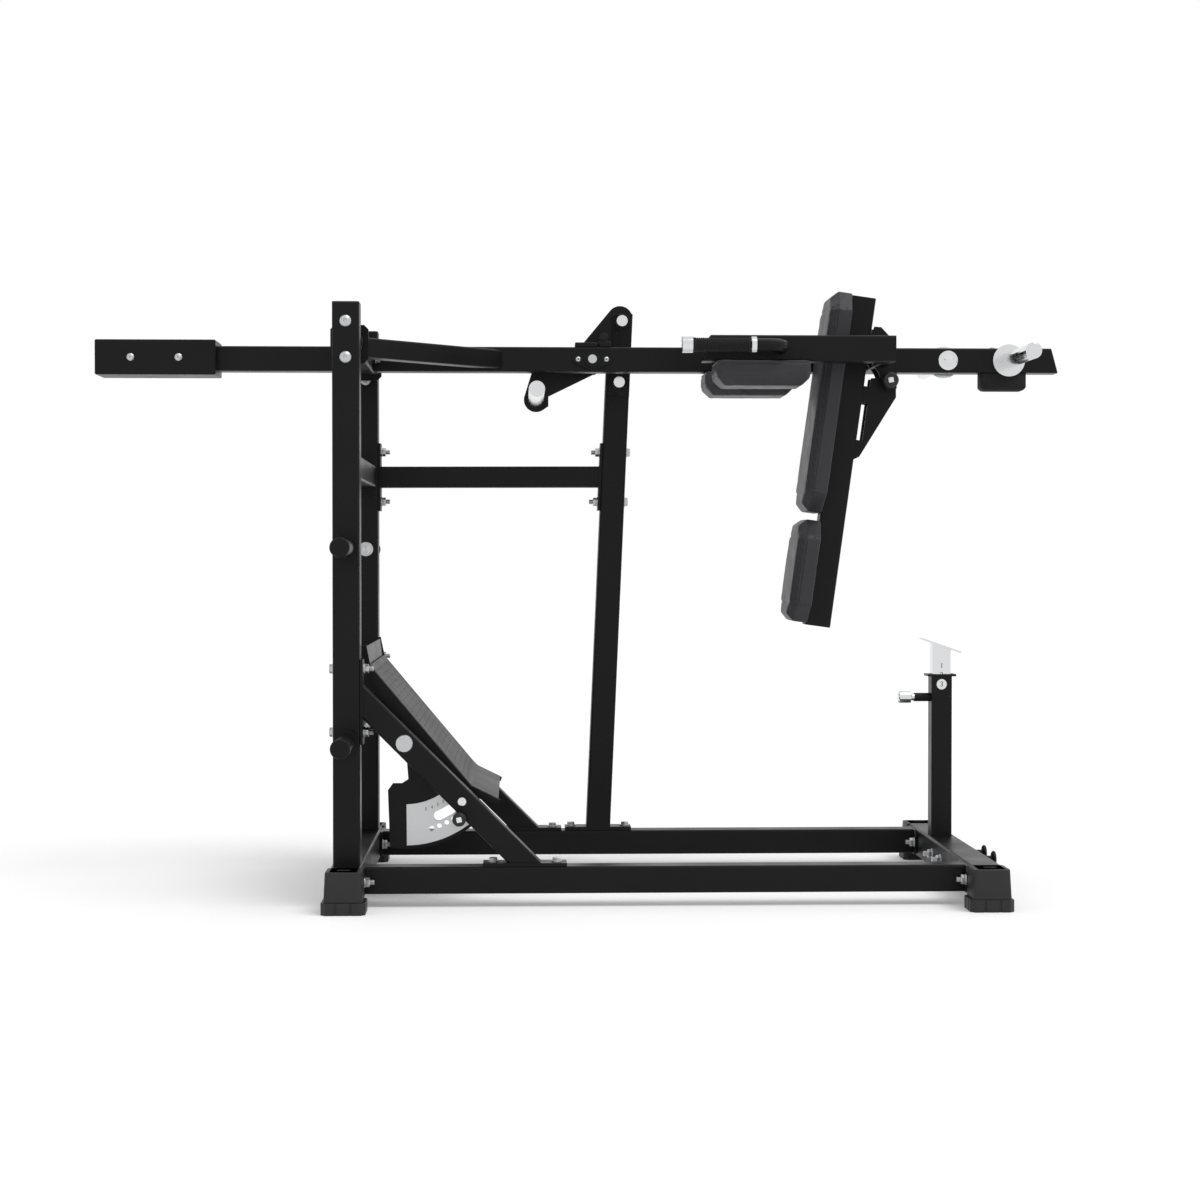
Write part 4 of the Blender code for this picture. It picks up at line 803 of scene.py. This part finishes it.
def tube_cap(name, size_x, size_y, thickness, place):
    """A pressed-in tube cap: rounded corners and a soft upper edge."""
    cap = block(name, (-size_x / 2, -size_y / 2, 0), (size_x / 2, size_y / 2, thickness))
    bevel_edges(cap, lambda a, b: abs(a.z - b.z) > thickness / 2, 0.006, 3)
    bevel_edges(cap, lambda a, b: a.z > thickness * 0.9 and b.z > thickness * 0.9, thickness * 0.6, 2)
    close_shape(cap)
    cap.data.transform(place)
    return cap


class SQUAT_OT_caps(bpy.types.Operator):
    """Models the plastic caps on the open ends of the tubes"""

    bl_idname = "squat.caps"
    bl_label = "Tube caps"

    def execute(self, context):
        for side, word in ((-1, "near"), (1, "far")):
            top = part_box(f"upright_{word}")[1].z
            place = Matrix.Translation(at(0, side * RAIL_SIDE, top))
            settle(tube_cap(f"upright_cap_{word}", TUBE, TUBE, 0.004, place), "frame", "black_plastic")
        lean = Matrix.Rotation(POST_LEAN, 4, "Y")
        place = Matrix.Translation(at(post_centre(1.838), RAIL_SIDE, 1.8375)) @ lean
        settle(tube_cap("lock_post_cap", TUBE, TUBE, 0.004, place), "frame", "black_plastic")
        ovals = []
        for end in ("front", "rear"):
            low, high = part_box(f"foot_{end}_near")
            for side in (-1, 1):
                place = Matrix.Translation(((low.x + high.x) / 2, side * 0.600, high.z - 0.0005))
                oval = tube_cap("oval", 0.040, 0.014, 0.0025, place)
                ovals.append(oval)
        settle(joined("foot_retaining_ovals", ovals), "frame", "black_rubber")
        return {"FINISHED"}


# Bolts and nuts
def flange_nut(sizes):
    """A flange nut on its washer with the bolt's thread standing through it."""
    corner = sizes.nut_radius
    washer = turned("washer", [(0, 0.0165), (0.0022, 0.0165), (0.0027, 0.016)], 36)
    flange = turned("flange", [(0.0027, 0.0155), (0.0040, 0.0155), (0.0055, 0.0130)], 36)
    nut_profile = [(0.005, corner - 0.0002), (0.006, corner), (0.0145, corner), (0.0160, corner - 0.0016)]
    nut = turned("nut", nut_profile, 6)
    thread = [(0.015, 0.0078)]
    for number in range(6):
        start = 0.0160 + number * 0.002
        thread += [(start + 0.0005, 0.0070), (start + 0.0015, 0.0080)]
    thread += [(0.0285, 0.0076), (0.0295, 0.0060)]
    return joined("flange_nut_model", [washer, flange, nut, turned("thread", thread, 24)])


def hex_head(sizes):
    """A hexagon bolt head on a washer."""
    corner = sizes.nut_radius
    washer = turned("washer", [(0, 0.0165), (0.0022, 0.0165), (0.0027, 0.016)], 36)
    head = turned("head", [(0.0027, corner), (0.0110, corner), (0.0128, corner - 0.0020)], 6)
    return joined("hex_head_model", [washer, head])


def dome_bolt(radius):
    """A button head bolt with a hexagon socket."""
    rise = radius * 0.55
    profile = [(0, radius - 0.0005), (0.0008, radius), (0.0022, radius)]
    for number in range(1, 7):
        angle = math.radians(13 * number)
        profile.append((0.0022 + rise * math.sin(angle), radius * math.cos(angle) + 0.0008))
    head = turned("dome_bolt_model", profile, 40)
    socket = turned("socket", [(rise * 0.45, radius * 0.36), (rise * 2.0, radius * 0.36)], 6)
    cut(head, socket)
    return head


def plain_disc(radius, thickness):
    """A turned cover disc with a rounded edge."""
    edge = min(0.002, thickness * 0.45)
    profile = [(0, radius - 0.0004), (0.0004, radius), (thickness - edge, radius)]
    profile += [(thickness - edge * 0.3, radius - edge * 0.3), (thickness, radius - edge)]
    profile += [(thickness, radius * 0.4), (thickness - 0.0006, radius * 0.36)]
    return turned("disc_model", profile, 40)


def place_all(name, model, spots, body, slot="zinc"):
    """Puts copies of a model at spots, each a point and an axis, as one piece."""
    piece = joined(name, copies(model, [facing(point, axis) for point, axis in spots]))
    settle(piece, body, slot)


class SQUAT_OT_frame_bolts(bpy.types.Operator):
    """Models the bolts, nuts and discs that hold the frame together"""

    bl_idname = "squat.frame_bolts"
    bl_label = "Frame bolts"

    def execute(self, context):
        sizes = context.scene.squat_sizes
        nut = flange_nut(sizes)
        head = hex_head(sizes)
        dome = dome_bolt(sizes.dome_radius)
        nuts = []
        heads = []
        domes = []
        for side in (-1, 1):
            for height in (1.7212, 1.6153):
                domes.append((at(0, side * 0.493, height), Y_AXIS * side))
                heads.append((at(0, side * 0.399, height), Y_AXIS * -side))
            for shift in (-0.067, 0.067):
                line = side * RAIL_SIDE + shift
                nuts.append((at(0.0543, line, 0.079), X_AXIS))
                nuts.append((at(1.8254, line, 0.079), -X_AXIS))
                heads.append((at(-0.046, line, 0.079), -X_AXIS))
                heads.append((at(1.9257, line, 0.079), X_AXIS))
            for height in (0.701, 0.514):
                nuts.append((at(0.0483, side * RAIL_SIDE, height), X_AXIS))
                heads.append((at(-0.040, side * RAIL_SIDE, height), -X_AXIS))
            for offset in (0.430, 0.618):
                heads.append((at(offset, side * RAIL_SIDE, 0.1293), Z_AXIS))
        for height in (1.380, 1.215):
            centre = post_centre(height)
            nuts.append((at(0.0483, RAIL_SIDE, height), X_AXIS))
            heads.append((at(-0.040, RAIL_SIDE, height), -X_AXIS))
            nuts.append((at(centre - 0.048, RAIL_SIDE, height), -X_AXIS))
            heads.append((at(centre + 0.040, RAIL_SIDE, height), X_AXIS))
        for shift in (-0.090, 0.090):
            heads.append((at(0.770 + shift, RAIL_SIDE, 0.1316), Z_AXIS))
        for line in (0.090, -0.060):
            nuts.append((at(1.8337, line, 0.078), -X_AXIS))
        place_all("frame_nuts", nut, nuts, "frame")
        place_all("frame_bolt_heads", head, heads, "frame")
        place_all("upright_dome_bolts", dome, domes, "frame")
        disc = plain_disc(0.024, 0.004)
        discs = []
        for side in (-1, 1):
            for height in (1.057, 0.486):
                discs.append((at(0, side * 0.413, height), Y_AXIS * -side))
        place_all("storage_discs", disc, discs, "frame")
        small = plain_disc(0.013, 0.004)
        place_all("rail_cover_disc", small, [(at(0.3389, -0.493, 0.3115), -Y_AXIS)], "frame", "chrome")
        for model in (nut, head, dome, disc, small):
            bpy.data.objects.remove(model)
        return {"FINISHED"}


class SQUAT_OT_arm_bolts(bpy.types.Operator):
    """Models the bolts and discs of the swinging arm and the lever"""

    bl_idname = "squat.arm_bolts"
    bl_label = "Arm bolts"

    def execute(self, context):
        sizes = context.scene.squat_sizes
        nut = flange_nut(sizes)
        small_dome = dome_bolt(0.012)
        screw = dome_bolt(0.008)
        disc = plain_disc(0.032, 0.005)
        nuts = []
        for shift in (-0.067, 0.067):
            nuts.append((at(0.0483, BEAM_SIDE + shift, PIVOT.z), X_AXIS))
            nuts.append((at(-0.0483, BEAM_SIDE + shift, PIVOT.z), -X_AXIS))
        place_all("arm_flange_nuts", nut, nuts, "arm")
        weight_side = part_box("counterweight")[0].y
        domes = [
            (at(-0.728, weight_side, PIVOT.z), -Y_AXIS),
            (at(-0.5761, weight_side, PIVOT.z), -Y_AXIS),
        ]
        place_all("counterweight_bolts", small_dome, domes, "arm")
        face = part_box("lever_bearing_near")[1].y - 0.006
        screws = [
            (Vector((LEVER.x - 0.0455, face, LEVER.z)), -Y_AXIS),
            (Vector((LEVER.x + 0.0455, face, LEVER.z)), -Y_AXIS),
        ]
        place_all("lever_bearing_screws", screw, screws, "arm")
        horn_spot = (at(1.8956, BEAM_SIDE - TUBE / 2, PIVOT.z), -Y_AXIS)
        place_all("far_horn_disc", disc, [horn_spot], "arm", "chrome")
        place_all("beam_top_bolt", screw, [(at(2.047, BEAM_SIDE, 1.707), Z_AXIS)], "arm")
        for model in (nut, small_dome, screw, disc):
            bpy.data.objects.remove(model)
        return {"FINISHED"}


class SQUAT_OT_beam_trim(bpy.types.Operator):
    """Models the stop roller, the top plates and the lug on the beam"""

    bl_idname = "squat.beam_trim"
    bl_label = "Beam trim"

    def execute(self, context):
        top = PIVOT.z + TUBE / 2
        plate = block(
            "plate", at(0.688, BEAM_SIDE - 0.030, top), at(0.762, BEAM_SIDE + 0.030, top + 0.016))
        soften(plate, 0.003, 3)
        bracket = block(
            "bracket", at(0.765, BEAM_SIDE - 0.030, top), at(0.802, BEAM_SIDE + 0.030, top + 0.020))
        soften(bracket, 0.003, 3)
        lug = block(
            "lug", at(0.050, BEAM_SIDE - 0.020, top - 0.002), at(0.0795, BEAM_SIDE + 0.020, top + 0.007))
        soften(lug, 0.002, 2)
        settle(joined("beam_top_plates", [plate, bracket, lug]), "arm", "black_paint")
        pin_profile = [(-0.024, 0.012), (-0.022, 0.014), (0.022, 0.014), (0.024, 0.012)]
        pin = turned("beam_stop_roller", pin_profile, 40)
        pin.data.transform(facing(at(0.7824, BEAM_SIDE, 1.7404), Y_AXIS))
        settle(pin, "arm", "black_rubber")
        return {"FINISHED"}


class SQUAT_OT_knob_inserts(bpy.types.Operator):
    """Models the bare light inserts in the faces of the two round knobs"""

    bl_idname = "squat.knob_inserts"
    bl_label = "Knob inserts"

    def execute(self, context):
        self.insert("back_clamp_knob", "back_knob", 0.016, 10)
        self.insert("footplate_lock_pin", "foot_pin", 0.015, 10)
        return {"FINISHED"}

    def insert(self, node, body, size, slant):
        """A square insert with rounded corners, flush in the knob's near face."""
        low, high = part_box(node)
        tile = block("tile", (-size / 2, -size / 2, 0), (size / 2, size / 2, 0.0012))
        bevel_edges(tile, lambda a, b: abs(a.z - b.z) > 0.0006, 0.002, 3)
        soften(tile, 0.0003, 2)
        middle = ((low.x + high.x) / 2, low.y - 0.0002, (low.z + high.z) / 2)
        tile.data.transform(facing(middle, -Y_AXIS) @ Matrix.Rotation(math.radians(slant), 4, "Z"))
        tile.name = f"{node}_insert"
        settle(tile, body, "black_plastic", "knob_insert")


def number(text, height, point):
    """A printed number that faces the near side, centred on a point."""
    deselect()
    bpy.ops.object.text_add(location=(0, 0, 0))
    piece = bpy.context.object
    piece.data.body = text
    piece.data.size = height * 1.4
    piece.data.align_x = "CENTER"
    piece.data.align_y = "CENTER"
    piece.data.extrude = 0.0002
    bpy.ops.object.convert(target="MESH")
    piece = bpy.context.object
    piece.data.transform(Matrix.Translation(Vector(point)) @ Matrix.Rotation(math.radians(90), 4, "X"))
    return piece


class SQUAT_OT_numbers(bpy.types.Operator):
    """Prints the plain numbers on the angle scale and on the catch tube"""

    bl_idname = "squat.numbers"
    bl_label = "Numbers"

    def execute(self, context):
        height = context.scene.squat_sizes.number_height
        scale_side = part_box("angle_scale")[0].y - PRINT_GAP
        marks = []
        for step in range(5):
            angle = SCALE_START - SCALE_PITCH * step
            spot = AXLE + NUMBER_RADIUS * Vector((math.cos(angle), 0, math.sin(angle)))
            marks.append(number(str(step + 1), 0.010, (spot.x, scale_side, spot.z)))
        settle(joined("scale_numbers", marks), "foot_rest", "bare_aluminium", "dark_ink")
        tube_low, tube_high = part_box("catch_tube")
        middle = (tube_low.x + tube_high.x) / 2
        face = BEAM_SIDE - CATCH_TUBE / 2 - PRINT_GAP
        marks = []
        for text, level in (("3", 0.6172), ("2", 0.6472), ("1", 0.6772)):
            marks.append(number(text, height, (middle, face, level)))
        settle(joined("catch_numbers", marks), "catch", "chrome", "dark_ink")
        return {"FINISHED"}


# Stage
class SQUAT_OT_stage(bpy.types.Operator):
    """Sets up the pale floor, the soft light, the white background and the camera"""

    bl_idname = "squat.stage"
    bl_label = "Stage"

    def execute(self, context):
        scene = context.scene
        self.floor(scene.squat_colours)
        self.world(scene)
        self.sun()
        self.camera(scene)
        scene.view_settings.view_transform = "Standard"
        return {"FINISHED"}

    def floor(self, colours):
        """A very wide round floor that reads white and still takes the shadow."""
        deselect()
        bpy.ops.mesh.primitive_circle_add(vertices=96, radius=60, fill_type="NGON", location=(0, 0, -0.0005))
        bpy.ops.object.transform_apply(location=True, rotation=True, scale=True)
        floor = bpy.context.object
        floor.name = "floor"
        tree, shader, _ = start_material(
            "studio_floor", Base_Color=tuple(colours.floor), Roughness=0.9, Specular_IOR_Level=0.0)
        rays = add_node(tree, "ShaderNodeLightPath")
        seen = add_node(
            tree, "ShaderNodeMath", None,
            {0: rays.outputs["Is Camera Ray"], 1: rays.outputs["Is Glossy Ray"]},
            operation="MAXIMUM")
        glow = add_node(tree, "ShaderNodeMath", {1: 0.20}, {0: seen.outputs[0]}, operation="MULTIPLY")
        shader.inputs["Emission Color"].default_value = (1, 1, 1, 1)
        tree.links.new(glow.outputs[0], shader.inputs["Emission Strength"])
        floor.data.materials.append(bpy.data.materials["studio_floor"])

    def world(self, scene):
        """White for what is seen and mirrored, and a soft grey as fill light."""
        world = bpy.data.worlds.new("studio")
        world.use_nodes = True
        tree = world.node_tree
        background = tree.nodes["Background"]
        background.inputs["Color"].default_value = (1, 1, 1, 1)
        rays = add_node(tree, "ShaderNodeLightPath")
        mirrored = add_node(
            tree, "ShaderNodeMath", None,
            {0: rays.outputs["Is Glossy Ray"], 1: rays.outputs["Is Transmission Ray"]},
            operation="MAXIMUM")
        seen = add_node(
            tree, "ShaderNodeMath", None, {0: rays.outputs["Is Camera Ray"], 1: mirrored.outputs[0]},
            operation="MAXIMUM")
        level = add_node(tree, "ShaderNodeMapRange", {1: 0.0, 2: 1.0, 3: 0.60, 4: 1.0}, {0: seen.outputs[0]})
        tree.links.new(level.outputs[0], background.inputs["Strength"])
        scene.world = world

    def sun(self):
        """A broad light from the upper right front, with a soft shadow to the lower left."""
        deselect()
        bpy.ops.object.light_add(type="SUN", location=(3, -3, 6))
        sun = bpy.context.object
        sun.name = "softbox"
        sun.data.energy = 1.3
        sun.data.angle = math.radians(35)
        sun.rotation_euler = Vector((0.45, -0.35, 1.0)).to_track_quat("Z", "Y").to_euler()

    def camera(self, scene):
        """The photograph's view: a 70 mm lens, chest high, square to the machine's side."""
        deselect()
        bpy.ops.object.camera_add(
            location=(-0.2002, -7.3505, 1.0277),
            rotation=(math.radians(90 - 1.0326), 0, math.radians(-1.998)))
        camera = bpy.context.object
        camera.name = "camera"
        camera.data.lens = 70
        camera.data.sensor_width = 36
        scene.camera = camera


STEPS = (
    SQUAT_OT_finishes,
    SQUAT_OT_back_pads,
    SQUAT_OT_shoulder_pads,
    SQUAT_OT_grips,
    SQUAT_OT_bumper,
    SQUAT_OT_feet,
    SQUAT_OT_tread,
    SQUAT_OT_caps,
    SQUAT_OT_frame_bolts,
    SQUAT_OT_arm_bolts,
    SQUAT_OT_beam_trim,
    SQUAT_OT_knob_inserts,
    SQUAT_OT_numbers,
    SQUAT_OT_stage,
)


class SQUAT_PT_panel(bpy.types.Panel):
    """Lists the settings and the steps in the 3D view's sidebar"""

    bl_idname = "SQUAT_PT_panel"
    bl_label = "Squat machine"
    bl_space_type = "VIEW_3D"
    bl_region_type = "UI"
    bl_category = "Squat machine"

    def draw(self, context):
        for step in STEPS:
            self.layout.operator(step.bl_idname)
        for group in (context.scene.squat_sizes, context.scene.squat_colours):
            for name in group.bl_rna.properties.keys():
                if name not in ("rna_type", "name"):
                    self.layout.prop(group, name)


CLASSES = (SquatColours, SquatSizes, *STEPS, SQUAT_PT_panel)


def register():
    for item in CLASSES:
        bpy.utils.register_class(item)
    bpy.types.Scene.squat_colours = bpy.props.PointerProperty(type=SquatColours)
    bpy.types.Scene.squat_sizes = bpy.props.PointerProperty(type=SquatSizes)


def unregister():
    del bpy.types.Scene.squat_sizes
    del bpy.types.Scene.squat_colours
    for item in reversed(CLASSES):
        bpy.utils.unregister_class(item)


def main():
    register()
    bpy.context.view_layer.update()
    for step in STEPS:
        area, name = step.bl_idname.split(".")
        getattr(getattr(bpy.ops, area), name)()


if __name__ == "__main__":
    main()
